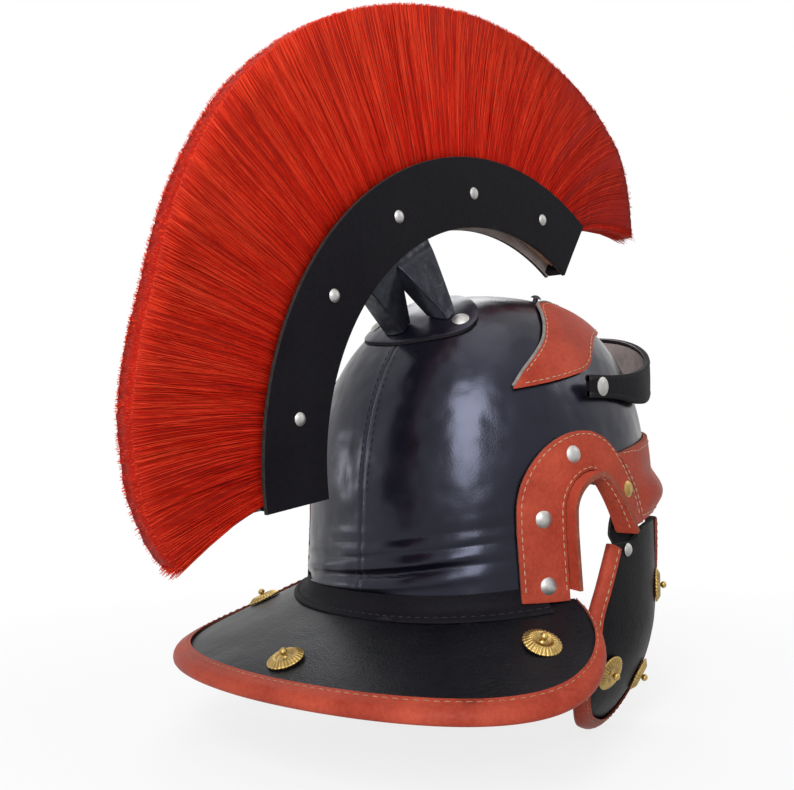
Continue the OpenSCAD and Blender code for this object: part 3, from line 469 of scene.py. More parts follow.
# Shape of the bowl
BOWL_HALF_W, BOWL_BACK, BOWL_FRONT, BOWL_TOP, SHOULDER_Z = 98, 100, 104, 190, 55
PLAN_POWER, DOME_BACK, DOME_FRONT, FLARE, BOWL_T = 2.25, 2.25, 2.7, 0.03, 3
NAPE_SIDE_Z, NAPE_BACK_Z, FACE_Z, FACE_ARCH = 18, 10, 57, 13
EAR_REAR_Y, EAR_TOP_Y, EAR_TOP_Z, EAR_CORNER_H = 39.5, 19, 86, 22
EAR_FRONT_Y, EAR_FRONT_Z, EAR_FRONT_BEND = 8, 51.5, 1.35
EAR_PLATE_W, EAR_PLATE_TOP_W, EAR_PLATE_T, FLANGE_W, FLANGE_T, FLANGE_LIFT = 25, 21.5, 2.5, 12, 3, 6
SEAT, DOME_H, BOWL_MID_Z = 0.35, BOWL_TOP - SHOULDER_Z, 100
UP = np.array([0, 0, 1.0])


def plan_r(a):
    """Distance of the bowl's wall from its axis at the shoulder."""
    side, ahead = abs(sin(a)) / BOWL_HALF_W, abs(cos(a)) / np.where(cos(a) < 0, BOWL_BACK, BOWL_FRONT)
    return (side**PLAN_POWER + ahead**PLAN_POWER) ** (-1 / PLAN_POWER)


def bowl_k(a, z, off):
    """Share of that distance at a height: the dome closes above the shoulder, the skirt flares below it."""
    power = mix(DOME_BACK, DOME_FRONT, (1 + cos(a)) / 2)
    t = np.clip((z - SHOULDER_Z) / (DOME_H + off), 0, 1)
    return np.where(z > SHOULDER_Z, (1 - t**power) ** (1 / power), 1 + FLARE * (1 - z / SHOULDER_Z))


def on_bowl(a, z, off=0.0):
    return at_bearing(a, (plan_r(a) + off) * bowl_k(a, z, off), z)


def x_of(y, z):
    """Half width of the bowl at a place along it and a height."""
    ahead = abs(y) / np.where(y > 0, BOWL_BACK, BOWL_FRONT)
    inside = np.maximum(0.001, bowl_k(90.0, z, 0) ** PLAN_POWER - ahead**PLAN_POWER)
    return BOWL_HALF_W * inside ** (1 / PLAN_POWER)


def bearing(y, z):
    y, z = np.asarray(y, float), np.asarray(z, float)
    return np.degrees(np.arctan2(x_of(y, z), -y))


def on_side(y, z, off=0.0):
    return on_bowl(bearing(y, z), z, off)


def on_top(x, y, off=0.0):
    """Point of the dome over a place in plan."""
    a = np.degrees(np.arctan2(-x, -y))
    power = mix(DOME_BACK, DOME_FRONT, (1 + cos(a)) / 2)
    k = np.hypot(x, y) / plan_r(a)
    z = SHOULDER_Z + (DOME_H + off) * np.maximum(0, 1 - k**power) ** (1 / power)
    return np.stack(np.broadcast_arrays(x, y, z), -1)


def nape_z(a):
    """Height of the bowl's lower edge from the ears (side) to the nape (back)."""
    y = -plan_r(a) * cos(a)
    back = np.clip((y - EAR_REAR_Y) / (BOWL_BACK - EAR_REAR_Y), 0, 1)
    return NAPE_SIDE_Z - (NAPE_SIDE_Z - NAPE_BACK_Z) * back


EAR_FRONT_A = float(bearing(-EAR_FRONT_Y, EAR_FRONT_Z))
FACE_FALL_A = EAR_FRONT_A - 23


def face_edge_z(a):
    """Height of the edge over the face: an arch that falls to the ears' front corners."""
    fall = np.clip((abs(a) - FACE_FALL_A) / (EAR_FRONT_A - FACE_FALL_A), 0, 1)
    arch = np.maximum(0, cos(np.minimum(90, abs(a) * 1.6))) ** 1.5
    return FACE_Z + FACE_ARCH * arch - (FACE_Z - EAR_FRONT_Z) * fall


def ear_edge():
    """Points (y, z) of the ear opening's edge, and the outward direction at each."""
    z = np.linspace(NAPE_SIDE_Z - 0.6, EAR_TOP_Z - EAR_CORNER_H, 20)
    turn = np.linspace(5, 90, 18)
    y = np.linspace(EAR_TOP_Y, -EAR_FRONT_Y, 25)[1:]
    ahead = (EAR_TOP_Y - y) / (EAR_TOP_Y + EAR_FRONT_Y)
    front_z = EAR_TOP_Z - (EAR_TOP_Z - EAR_FRONT_Z) * ahead**EAR_FRONT_BEND
    corner_y, corner_z = mix(EAR_TOP_Y, EAR_REAR_Y, cos(turn)), EAR_TOP_Z - EAR_CORNER_H * (1 - sin(turn))
    points = np.vstack([np.stack([z * 0 + EAR_REAR_Y, z], -1), np.stack([corner_y, corner_z], -1),
                        np.stack([y, front_z], -1)])
    step = unit(np.gradient(points, axis=0))
    return points, np.stack([step[:, 1], -step[:, 0]], -1)


EDGE, EDGE_OUT = ear_edge()


def smooth_step(low, high, v):
    t = np.clip((v - low) / (high - low), 0, 1)
    return t * t * (3 - 2 * t)


# Folds of the leather over the nape: height, width, place and turns
NAPE_FOLDS = [(-2.4, 1.7, 29.5, 5), (1.2, 2.4, 34.5, 7), (-0.8, 1.0, 39.5, 9), (0.8, 2.2, 43.5, 8),
              (-0.6, 1.1, 48.0, 11), (0.4, 3.0, 53.0, 6), (1.5, 3.0, 23.5, 3)]


def bowl_relief(a, z, side):
    """How far the leather stands off its plain shape: seam welts, creases over the nape, hand-worked sway."""
    back = np.minimum(a, 180 - a)
    away = plan_r(a) * bowl_k(a, z, 0) * np.radians(back)
    seam = 0.12 * np.exp(-((away - 3.0) / 2.0) ** 2) - 0.2 * np.exp(-((away / 0.6) ** 2))
    turned = (180 - a) * side
    wave = z - 0.2 * turned + 0.9 * sin(5.1 * turned + 40)
    crease = sum(height * np.exp(-(((wave - at) / width) ** 2)) * (0.6 + 0.4 * sin(turns * turned + 50 * at))
                 for height, width, at, turns in NAPE_FOLDS)
    sway = 0.35 * sin(2.3 * z + 5 * turned) * cos(4 * turned) * smooth_step(200, 60, z)
    folds = smooth_step(116, 148, a) * crease + sway
    tuck = -1.3 * smooth_step(20.5, 18.5, z) * smooth_step(100, 112, a)
    return (seam + folds * smooth_step(17, 21, z)) * smooth_step(BOWL_TOP + 2, BOWL_TOP - 12, z) + tuck


def make_bowl(word, side):
    ear = EDGE[::-1][:-19]
    ear_a = bearing(ear[:, 0], ear[:, 1])
    front = spaced(0, (6, 12), (ear_a[0] - 1, 39))
    rear = spaced(ear_a[-1] + 0.6, (172, 43), (180, 24))
    a = np.concatenate([front, ear_a, rear])
    z0 = np.concatenate([face_edge_z(front), ear[:, 1], nape_z(rear) - 5])
    low, high = column(0, 1, 90), sin(90 * np.linspace(0, 1, 50)[1:])[:, None]

    def wall(off, relief):
        z = np.vstack([mix(z0[None], BOWL_MID_Z, low), mix(BOWL_MID_Z, BOWL_TOP + off, high) + 0 * a])
        points = on_bowl(a, z, off + (bowl_relief(a, z, side) if relief else 0))
        points[-1] = [0, 0, BOWL_TOP + off]
        return side_of(points, side)

    return shell(f"bowl_leather_{word}", wall(0, True), wall(-BOWL_T, False), [BLACK, FLESH, BLACK_EDGE],
                 nodes=f"bowl_{word}")


both_sides(make_bowl)

SEAM_GAP, SEAM_LOW_Z, SEAM_HIGH_Z = 3.2, 14, 184


def make_seam_stitching():
    """Black thread down both sides of the back seam and over the crown."""
    parts = []
    z = np.linspace(SEAM_LOW_Z, SEAM_HIGH_Z, 60)
    a = 180 - np.degrees(SEAM_GAP / (plan_r(180.0) * bowl_k(180.0, z, 0)))
    for side in SIDES.values():
        path = side_of(on_bowl(a, z, 0.12), side)
        outward = side_of(on_bowl(a, z, 6), side) - path
        parts.append(stitches(path, unit(outward), pitch=4.6, length=2.6, radius=0.17, slant=0.2 * side))
    build("seam_stitching", *joined(parts), [BLACK_THREAD])


make_seam_stitching()

# Sweatband
BAND_OFF, BAND_T, BAND_Z, BAND_H = BOWL_T + SEAT + 0.45, 2, 92, 26


def make_sweatband():
    a = np.arange(0, 360, 3.0)[:, None]
    z = row(BAND_Z, BAND_Z + BAND_H, 9)

    def wall(off):
        return on_bowl(a, z, -off + 0.3 * sin(a * 9) * (z - BAND_Z) / BAND_H)

    shell("sweatband_leather", wall(BAND_OFF + BAND_T), wall(BAND_OFF), [CORE], loop=True, nodes="sweatband",
          bevel=0.5)
    ring = np.arange(0, 361, 3.0)
    path = on_bowl(ring, BAND_Z + 4.0, -BAND_OFF - BAND_T)
    inward = unit(path * [-1, -1, 0])
    build("sweatband_stitching", *stitches(path, inward), [THREAD], slot="raw_leather")


make_sweatband()

# Neck guard
GUARD_BACK, GUARD_SIDE, GUARD_WIDE_Y, SIDE_FALL, BACK_FALL, GUARD_T = 82, 43, 95, 0.48, 0.36, 4
SIDE_TURN, SIDE_POWER, GUARD_FROM_Q, WELT_TURN = 63, 2.2, 14, 60
BINDING_W, BINDING_T, STITCH_INSET = 9, 1.5, 2.6


def guard_rim(q):
    """Rim of the guard at q, its own angle: 0 and 360 at the ears, 180 at the back."""
    hand, turned = np.where(q > 180, -1, 1), np.where(q > 180, 360 - q, q)
    start_x, start_y = x_of(EAR_REAR_Y, SHOULDER_Z) + BOWL_T, EAR_REAR_Y - 1.5
    wide, back, ahead = BOWL_HALF_W + GUARD_SIDE, BOWL_BACK + GUARD_BACK, turned < 90
    x = np.where(ahead, mix(start_x, wide, sin(turned)), wide * sin(turned))
    y = mix(GUARD_WIDE_Y, np.where(ahead, start_y, back), abs(cos(turned)))
    return np.stack([-hand * x, y], -1)


def guard_at(a, r, drop=0.0):
    """Point of the guard at a bearing and distance from the axis, and that distance at its inner edge."""
    beside = np.minimum(1, abs(180 - abs(a)) / SIDE_TURN) ** SIDE_POWER
    fall, z0 = mix(BACK_FALL, SIDE_FALL, beside), nape_z(a)
    inner = np.linalg.norm(on_bowl(a, z0 - drop)[..., :2], axis=-1) + SEAT + 0.15
    return at_bearing(a, r, z0 - fall * (r - inner) - drop), inner


def guard_point(q, v, drop=0.0):
    rim = guard_rim(q)
    a = np.degrees(np.arctan2(-rim[..., 0], -rim[..., 1]))
    inner = guard_at(a, 0.0, drop)[1]
    return guard_at(a, mix(inner, np.linalg.norm(rim, axis=-1), v), drop)[0]


def guard_out(q):
    """Level direction away from the axis, at the rim."""
    rim = guard_rim(q)
    return np.concatenate([unit(rim), rim[..., :1] * 0], -1)


def guard_normal(q, v):
    out = guard_point(q, v + 0.05) - guard_point(q, v - 0.05)
    return unit(np.cross(out, guard_point(q - 2, v) - guard_point(q + 2, v)))


def folded_binding(edge, inward, up, thickness, width):
    """Closed section of a folded strip round an edge, swept along it; also the line of its stitches."""
    half = thickness / 2 + SEAT

    def face(off):
        high = half + off
        nose = [(-(off + SEAT) * cos(turn) ** 0.8 + 2.2 * (1 - cos(turn)), high * sin(turn))
                for turn in np.linspace(90, -90, 9)]
        profile = [(width, high), (width * 0.6, high), *nose, (width * 0.6, -high), (width, -high)]
        return np.stack([edge + inward * deep + up * rise for deep, rise in profile], 1)

    return face(BINDING_T), face(0), edge + inward * (width - STITCH_INSET) + up * (half + BINDING_T)


def make_guard():
    q = np.linspace(GUARD_FROM_Q, 360 - GUARD_FROM_Q, 167)
    v = row(0, 1, 15)

    def plate(drop):
        sway = (0.0 if drop else 0.5) * sin(q[:, None] * 4.5) * sin(170 * v)
        points = guard_point(q[:, None], v, drop) - BINDING_T * v[..., None] * guard_out(q)[:, None]
        return points + sway[..., None] * UP

    shell("neck_guard_leather", plate(0.0), plate(GUARD_T), [GUARD_BLACK, FLESH, BLACK_EDGE],
          nodes="neck_guard", bevel=0.6)
    edge = guard_point(q, 1.0, GUARD_T / 2) - BINDING_T * guard_out(q)
    inward = unit(guard_point(q, 0.0) - guard_point(q, 1.0))
    outer, inner, line = folded_binding(edge, inward, UP + edge * 0, GUARD_T + SEAT, BINDING_W)
    shell("neck_guard_trim", outer, inner, RED_FACES, nodes="neck_guard_binding", bevel=0.35)
    build("neck_guard_stitching", *stitches(line[2:-2], UP + line[2:-2] * 0, pitch=5), [GUARD_THREAD])


make_guard()


def make_nape_welt():
    """Turned-out edge of the bowl that lies on the guard, with its row of stitches."""
    a = np.linspace(180 - WELT_TURN, 180 + WELT_TURN, 85)
    inner = guard_at(a, 0.0)[1]

    def at(reach, lift):
        return guard_at(a, inner + reach)[0] + lift * UP

    def sheet(profile):
        return np.stack([at(reach, lift) for reach, lift in profile], 1)

    outer = sheet([(-0.5, 10.0), (-0.3, 5.0), (0.9, 2.6), (3.0, 1.9), (6.0, 1.7), (8.0, 1.4)])
    under = sheet([(-1.0, 10.0), (-0.9, 3.0), (0.1, 1.0), (2.8, 0.4), (6.0, 0.35), (8.2, 0.3)])
    shell("nape_welt", outer, under, [BLACK_MATT], slot="black_leather", bevel=0.3)
    line = at(5.4, 1.75)
    build("nape_stitching", *stitches(line, UP + line * 0, pitch=5), [BLACK_THREAD])


make_nape_welt()

# Ear plates and flanges
PLATE_OFF = SEAT + EAR_PLATE_T
LEVEL = np.where(EDGE[:, 0] < EAR_TOP_Y, np.maximum(0, 1 - (EDGE[:, 1] - EAR_FRONT_Z) / 14), 0)[:, None]
BAND_OUT = unit(mix(EDGE_OUT, np.array([-1, 0.1]), LEVEL))
BAND_WIDTH = mix(EAR_PLATE_TOP_W, EAR_PLATE_W, np.maximum(0, BAND_OUT[:, 0]))


def make_ear_plate(word, side):
    v = np.linspace(0, 1, 9)[None, :, None]
    reach = EDGE[:, None] + BAND_OUT[:, None] * BAND_WIDTH[:, None, None] * v
    swell = 0.3 * sin(180 * v[..., 0])

    def face(off):
        return side_of(on_side(reach[..., 0], reach[..., 1], off), side)

    top = face(PLATE_OFF + swell)
    shell(f"ear_plate_leather_{word}", top, face(SEAT), RED_FACES, nodes=f"ear_plate_{word}", bevel=0.5)
    outward = face(PLATE_OFF + 5) - face(PLATE_OFF)
    rows = [stitches(mix(top[:, i], top[:, i + 1], t)[2:-1], unit(outward[2:-1, i]))
            for i, t in ((0, 0.64), (7, 0.36))]
    build(f"ear_plate_stitching_{word}", *joined(rows), [THREAD])


def make_ear_flange(word, side):
    lift = np.interp(EDGE[:, 1], [EDGE[0, 1], EDGE[0, 1] + 9], [FLANGE_LIFT, 0]) * (np.arange(len(EDGE)) < 20)
    z = EDGE[:, 1] + lift
    off = np.array([-BOWL_T / 2, 2, 5, 8, FLANGE_W - 1.2, FLANGE_W])

    def lip(inset):
        base = on_side(EDGE[:, :1], z[:, None], off)
        drop = np.stack([0 * EDGE_OUT[:, 0], EDGE_OUT[:, 0], EDGE_OUT[:, 1]], -1)
        return side_of(base - (SEAT + inset) * drop[:, None], side)

    inner, outer = lip(0), lip(FLANGE_T)
    shell(f"ear_flange_leather_{word}", inner, outer, RED_FACES, nodes=f"ear_flange_{word}", bevel=0.8)
    row_of_stitches = stitches(mix(outer[:, 3], outer[:, 4], 0.3), unit(outer - inner)[:, 3])
    build(f"ear_flange_stitching_{word}", *row_of_stitches, [THREAD])


def make_ear(word, side):
    make_ear_plate(word, side)
    make_ear_flange(word, side)


both_sides(make_ear)

# Brow band
BROW_TOP_Z, BROW_END_Z, BROW_T = 109, 93, 2.5
ROLL_T, ROLL_UP, ROLL_H, ROLL_FROM_A, ROLL_FADE_A = 6.5, 13, 28, 52, 22.5


def make_brow():
    reach = EDGE + BAND_OUT * (BAND_WIDTH + 2 * SEAT)[:, None]
    line = np.stack([bearing(reach[:, 0], reach[:, 1]), reach[:, 1]], -1)[::-1][:27]
    line = line[line[:, 1] < BROW_END_Z]
    low_a, last_a = line[0, 0] - 0.2, line[-1, 0]
    top_z = line[-1, 1] + 1.5

    def low(a):
        return np.where(a < low_a, face_edge_z(a), np.interp(a, line[:, 0], line[:, 1]))

    def high(a):
        return top_z + (BROW_TOP_Z - top_z) * np.maximum(0, cos(a * 90 / last_a)) ** 0.9

    def roll(a, z):
        near = cos(90 * np.clip((a - ROLL_FROM_A) / ROLL_FADE_A, 0, 1))
        bend = np.maximum(0, cos(np.minimum(90, abs(z - face_edge_z(a) - ROLL_UP) / ROLL_H * 180))) ** 1.5
        ruck = 0.5 * sin(9 * a + 3 * z) * sin(2.7 * a)
        return (ROLL_T + ruck) * near * bend

    a = np.concatenate([np.linspace(-last_a, -low_a, 22), np.linspace(-low_a + 0.2, low_a - 0.2, 131),
                        np.linspace(low_a, last_a, 22)])[:, None]
    z = mix(low(abs(a)), high(abs(a)), row(0, 1, 31))
    top = on_bowl(a, z, SEAT + BROW_T + roll(abs(a), z))
    shell("brow_band_leather", top, on_bowl(a, z, SEAT), RED_FACES, nodes="brow_band", bevel=0.5)
    outward = unit(on_bowl(a, z, 9) - on_bowl(a, z, 0))
    rows = [stitches(top[2:-2, line], outward[2:-2, line]) for line in (2, -3)]
    build("brow_band_stitching", *joined(rows), [THREAD])


make_brow()

# Forehead patch
PATCH_END_A, PATCH_T = 127.5, 1.5
PATCH_OFF = SEAT + 0.3 + PATCH_T
PATCH_LOW = spline([[0, 153], [18, 161], [46, 167], [66, 164], [76, 159.5], [83, 153], [88, 146.5],
                    [94, 141.4], [103, 138], [113, 134.6], [122, 132], [PATCH_END_A, 130.6]], 6)
PATCH_HIGH = spline([[0, 182], [30, 183.5], [60, 185], [78, 184], [90, 181.5], [98, 175.5], [104, 167.6],
                     [110, 158.3], [117, 149], [123, 140.5], [PATCH_END_A, 131.6]], 6)


def make_patch():
    a = column(-PATCH_END_A, PATCH_END_A, 205)
    v = row(0, 1, 25)
    low, high = (np.interp(abs(a), edge[:, 0], edge[:, 1]) for edge in (PATCH_LOW, PATCH_HIGH))
    z = mix(low, high, v)
    a = a + 0 * z
    top = on_bowl(a, z, PATCH_OFF + 0.35 * sin(180 * v) * smooth_step(0, 20, high - low))
    shell("forehead_patch_leather", top, on_bowl(a, z, PATCH_OFF - PATCH_T), RED_FACES,
          nodes="forehead_patch", bevel=0.4)
    outward = surface_normals(top, top - [0, 0, 60.0])

    def inset(amount):
        """Line a fixed distance inside the patch's lower (positive) or upper (negative) edge."""
        span = np.linalg.norm(np.diff(top, axis=1), axis=-1).cumsum(1)
        span = np.hstack([span[:, :1] * 0, span])
        want = np.full(len(top), amount) if amount > 0 else span[:, -1] + amount
        places = [[np.interp(goal, along, line[:, axis]) for axis in range(3)]
                  for goal, along, line in zip(want, span, top)]
        return np.array(places), span[:, -1] > 3.2 * abs(amount)

    lines = []
    for amount in (2.2, -2.2):
        line, wide = inset(amount)
        keep = np.where(wide)[0]
        lines.append(stitches(line[keep], outward[keep, 12], pitch=4.4))
    build("forehead_patch_stitching", *joined(lines), [THREAD])
    edge = on_bowl(a[:, -1], z[:, -1], PATCH_OFF - 0.5) + unit(top[:, -1] - top[:, -2]) * 0.7
    step = unit(np.gradient(edge, axis=0))
    up = outward[:, -1]
    piping = tube(edge, unit(np.cross(step, up)), up, np.full(len(edge), 1.0), 8)
    build("forehead_patch_piping", *piping, [PIPING])


make_patch()

# Visor
VISOR_H, BELLY, LOW_RISE, HIGH_RISE, VISOR_T = 13, 3.5, 18, 31, 3.2
VISOR_Z, VISOR_REACH, VISOR_GAP, VISOR_TAIL, VISOR_Y, RIM_R, VISOR_ROUND = 132, 121, 3.4, 12, 2, 2.0, 0.86
VISOR_HALF_W = float(x_of(0.0, float(VISOR_Z))) + VISOR_GAP


def make_visor():
    """The strap from one rivet round the front to the other, with a straight tail behind each rivet."""
    half = spaced(-VISOR_TAIL, (0, 5), (90, 90))
    turned = np.concatenate([half, half[:-1][::-1]])
    hand = np.where(np.arange(len(turned)) < len(half), 1, -1)
    bend = np.clip(turned, 0, 90)
    up = sin(bend)
    v = row(0, 1, 13)
    low = -VISOR_H / 2 + LOW_RISE * up**4 - BELLY * sin(np.minimum(180, 4 * bend)) ** 2
    high = VISOR_H / 2 + HIGH_RISE * up**2

    def face(half_w, reach, swell=0.0):
        x = hand * np.where(turned < 0, -half_w, -half_w * np.maximum(0, cos(bend)) ** VISOR_ROUND)
        y = np.where(turned < 0, -turned, -reach * up**VISOR_ROUND)
        z = mix(low[:, None], high[:, None], v)
        grid = np.stack(np.broadcast_arrays(x[:, None], y[:, None], z), -1)
        out = unit(np.stack([x / half_w, np.minimum(0, y) / reach, 0 * y], -1))[:, None]
        tail = np.where(turned[:, None] < -VISOR_TAIL + 4, 0.0, 1.0)
        return grid + out * (swell * sin(180 * v) * tail)[..., None] + [0, VISOR_Y, VISOR_Z]

    outer, inner = face(VISOR_HALF_W + VISOR_T, VISOR_REACH, 0.3), face(VISOR_HALF_W, VISOR_REACH - VISOR_T)
    shell("visor_leather", outer, inner, [BLACK_MATT, FLESH, BLACK_MATT], nodes="visor_strap", bevel=0.7,
          body="visor")
    middle = face(VISOR_HALF_W + VISOR_T / 2, VISOR_REACH - VISOR_T / 2)
    rims = []
    for edge, other in ((middle[:, 0], middle[:, -1]), (middle[:, -1], middle[:, 0])):
        path = edge + RIM_R * unit(other - edge)
        step = unit(np.gradient(path, axis=0))
        out = unit(np.cross(step, other - edge))
        rims.append(tube(path, out, unit(np.cross(out, step)), np.full(len(path), RIM_R), 10))
    build("visor_rim", *joined(rims), [BLACK_MATT], body="visor")


make_visor()

# Crest
CREST_IN_R, CREST_DEPTH, CREST_W, PANEL_T, CREST_FROM, CREST_TO = 141.5, 42.8, 16.7, 2.6, 57, 187.5
CREST_OUT_R, BOX_HALF = CREST_IN_R + CREST_DEPTH, CREST_W / 2 - PANEL_T
CORE_R1, CORE_R2 = CREST_IN_R + 4.5, CREST_IN_R + 27.5
STRIP_R1 = CORE_R2 + SEAT
STRIP_R2 = STRIP_R1 + 8
CAP_A = math.degrees(5 / CREST_IN_R)
HAIR_FROM, HAIR_TO = CREST_FROM + CAP_A + 0.15, CREST_TO - CAP_A - 0.15
LEG_FRONT_A, LEG_FORK_A, LEG_REAR_A = 113.5, 127, 138


def crest_point(a, r, x):
    return np.stack(np.broadcast_arrays(x, CREST_Y - r * cos(a), CREST_Z + r * sin(a)), -1)


def make_panel(word, side):
    a, r = column(CREST_FROM, CREST_TO, 131), row(CREST_IN_R, CREST_OUT_R, 15)
    sway = 0.25 * sin(a * 11 + 50 * side) * sin((r - CREST_IN_R) / CREST_DEPTH * 180)
    outer = crest_point(a, r, -side * (CREST_W / 2 + sway))
    inner = crest_point(a, r, -side * BOX_HALF)
    shell(f"crest_panel_leather_{word}", outer, inner, [BLACK_MATT, FLESH, BLACK_EDGE],
          nodes=f"crest_panel_{word}", bevel=0.5)


both_sides(make_panel)


def arc_layer(a1, a2, r1, r2, x1, x2, n=60):
    a, r = column(a1, a2, n), row(r1, r2, 4)
    return shell_mesh(crest_point(a, r, x2), crest_point(a, r, x1))[:2]


def make_core(word, a1, a2, seed):
    """Strips of leather on edge, side by side between the panels."""
    rng = np.random.default_rng(seed)
    cuts = np.linspace(-BOX_HALF + SEAT / 2, BOX_HALF - SEAT / 2, 6)
    layers = [arc_layer(a1 + rng.uniform(0, 0.8), a2 - rng.uniform(0, 0.8), CORE_R1 + rng.uniform(0, 2.4),
                        CORE_R2, x1 + 0.08, x2 - 0.08) for x1, x2 in zip(cuts, cuts[1:])]
    build(f"crest_core_layers_{word}", *joined(layers), [CORE], nodes=f"crest_core_{word}", bevel=0.3)


make_core("front", HAIR_FROM, LEG_FRONT_A - 2.15, 5)
make_core("rear", LEG_REAR_A + 2.15, HAIR_TO, 6)


def make_cap(word, a1, a2):
    cap = arc_layer(a1, a2, CREST_IN_R + 1, STRIP_R2, -BOX_HALF + SEAT / 2, BOX_HALF - SEAT / 2, 5)
    build(f"crest_cap_leather_{word}", *cap, [BLACK_MATT], nodes=f"crest_cap_{word}", bevel=0.6)


make_cap("front", CREST_FROM, CREST_FROM + CAP_A)
make_cap("rear", CREST_TO - CAP_A, CREST_TO)

# Hair
HAIR_L, FRONT_FAN, BACK_FAN, TIP_W, TUFTS = 91, 14, 4, 16, 9
HAIR_CUT = np.array([[42, .42], [46, .56], [50, .73], [56, .87], [64, .92], [83, .97], [105, .99],
                     [122, 1.02], [136, 1.01], [150, .93], [160, .86], [174, .85], [183, .78], [190, .66],
                     [192, .57]])
STRANDS = 900
TUFT_A = (HAIR_TO - HAIR_FROM) / TUFTS
LOCK_W, FACE_SHARE, END_SHARE = 1.15, 0.64, 0.3


def hair_r(a):
    """Outer edge of the hair at an angle, with the corners of its cut rounded."""
    near = np.linspace(-2, 2, 9)
    return CREST_OUT_R + HAIR_L * np.mean([np.interp(a + d, HAIR_CUT[:, 0], HAIR_CUT[:, 1]) for d in near], 0)


def fan_a(a):
    """Angle at which hair that starts at an angle ends, fanned out past both ends of the crest."""
    t = (a - HAIR_FROM) / (HAIR_TO - HAIR_FROM)
    return a - (FRONT_FAN + CAP_A) * np.clip(1 - t, 0, 1) ** 4 + (BACK_FAN + CAP_A) * np.clip(t, 0, 1) ** 6


def hair_width(t):
    """Half width of the plume from its root (0) to its tip (1)."""
    return mix(BOX_HALF - 0.6, TIP_W / 2 - 0.3, t**0.7)


def make_strands(k, rng):
    """Strands of tuft k, three-sided and tapered, gathered into locks towards their tips."""
    n = STRANDS
    a0 = HAIR_FROM + TUFT_A * (k + rng.random(n))
    face = rng.random(n) < FACE_SHARE
    share = np.where(face, 1 - 0.16 * rng.random(n) ** 1.5, rng.random(n)) * rng.choice([-1, 1], n)
    if k in (0, TUFTS - 1):
        at_end = rng.random(n) < END_SHARE
        end_a, hand = (HAIR_TO, 1) if k else (HAIR_FROM, -1)
        a0 = np.where(at_end, end_a + rng.uniform(-0.35, 0.15, n) * hand, a0)
        share = np.where(at_end, rng.uniform(-1, 1, n), share)
    lock = np.floor(a0 / LOCK_W + 0.35 * np.sign(share)) + 0.5
    lock_a = lock * LOCK_W - 0.4 * np.sign(share) + 0.5 * np.sin(lock * 12.9898)
    t = np.array([0, 0.22, 0.45, 0.7, 0.87, 1.0])[None]
    reach = hair_r(fan_a(a0)) + 0.1 - 0.9 * rng.random(n) ** 2 + 0.2 * np.sin(lock * 78.2)
    r = mix(STRIP_R1 + 1.5, reach[:, None], t)
    wave = 0.22 * np.sin(lock * 5.3)[:, None] * np.sin(5.2 * t + lock[:, None])
    drift = rng.normal(0, 0.5, n)[:, None] * t**1.5 + wave
    a = a0[:, None] + (fan_a(a0) - a0)[:, None] * t**1.2 + (lock_a - a0)[:, None] * 0.45 * t**1.6 + drift
    tuck = 0.5 * np.sin(lock * 3.7)[:, None] * t
    x = share[:, None] * (hair_width(t) - 0.5 + tuck * 0.6) + rng.normal(0, 0.12, n)[:, None] * t
    path = crest_point(a, r, x)
    thick = mix(0.26, 0.15, t**3) * rng.uniform(0.8, 1.25, n)[:, None]
    turn = np.array([90, 210, 330]) + rng.uniform(0, 120, n)[:, None]
    ring_a, ring_x = (part(turn)[:, None, :, None] * thick[..., None, None] for part in (cos, sin))
    around = np.stack([np.zeros_like(a), sin(a), cos(a)], -1)
    points = path[:, :, None] + around[:, :, None] * ring_a + np.array([1.0, 0, 0]) * ring_x
    rings = t.shape[1]
    base = (np.arange(n) * rings * 3)[:, None]
    quads = (base[..., None] + ring_quads(rings, 3)).reshape(-1, 4)
    ends = np.vstack([base + [0, 2, 1], base + (rings - 1) * 3 + [0, 1, 2]])
    return points.reshape(-1, 3), quads.tolist() + ends.tolist()


def make_mass(k):
    """Packed hair inside the tuft, under the strands that show; it takes the darker hair material, painted
    shade in the gaps between the strands.
    """
    a0 = HAIR_FROM + TUFT_A * (k + column(0 if k == 0 else -0.03, 1 if k == TUFTS - 1 else 1.03, 45))
    t = row(0, 1, 15)
    reach = hair_r(fan_a(a0)) - 0.7 - 0.5 * np.sin(a0 * 40) ** 2
    r = mix(STRIP_R1, reach, t)
    a = a0 + (fan_a(a0) - a0) * t**1.2
    groove = 0.55 * np.sin(a0 * 13.0) * np.sin(a0 * 5.1 + 2) * t
    half = hair_width(t) - 0.9 + groove
    return crest_point(a, r, half), crest_point(a, r, -half)


def make_hair():
    for k in range(TUFTS):
        rng = np.random.default_rng(40 + k)
        verts, faces = shell_mesh(*make_mass(k))[:2]
        strand_verts, strand_faces = make_strands(k, rng)
        shifted = [[v + len(verts) for v in face] for face in strand_faces]
        # The packed hair takes the second material, painted darker as the shade between the strands.
        kinds = [1] * len(faces) + [0] * len(shifted)
        build(f"crest_hair_{k + 1}", np.vstack([verts, strand_verts]), faces.tolist() + shifted,
              [HAIR, HAIR_MASS_PAINTED_SHADE], kinds, nodes=f"hair_tuft_{k + 1}")


make_hair()

# Stand of the crest
BASE_HALF_W, BASE_HALF_L, BASE_Y, BASE_T, BASE_OFF = 42, 20.5, 51, 2.5, SEAT + 0.15
FRONT_FOOT, REAR_FOOT, LEG_FOOT_W, LEG_T, BASE_ROUND = (-20, 53.5), (5, 64), 15, 6, 1.9


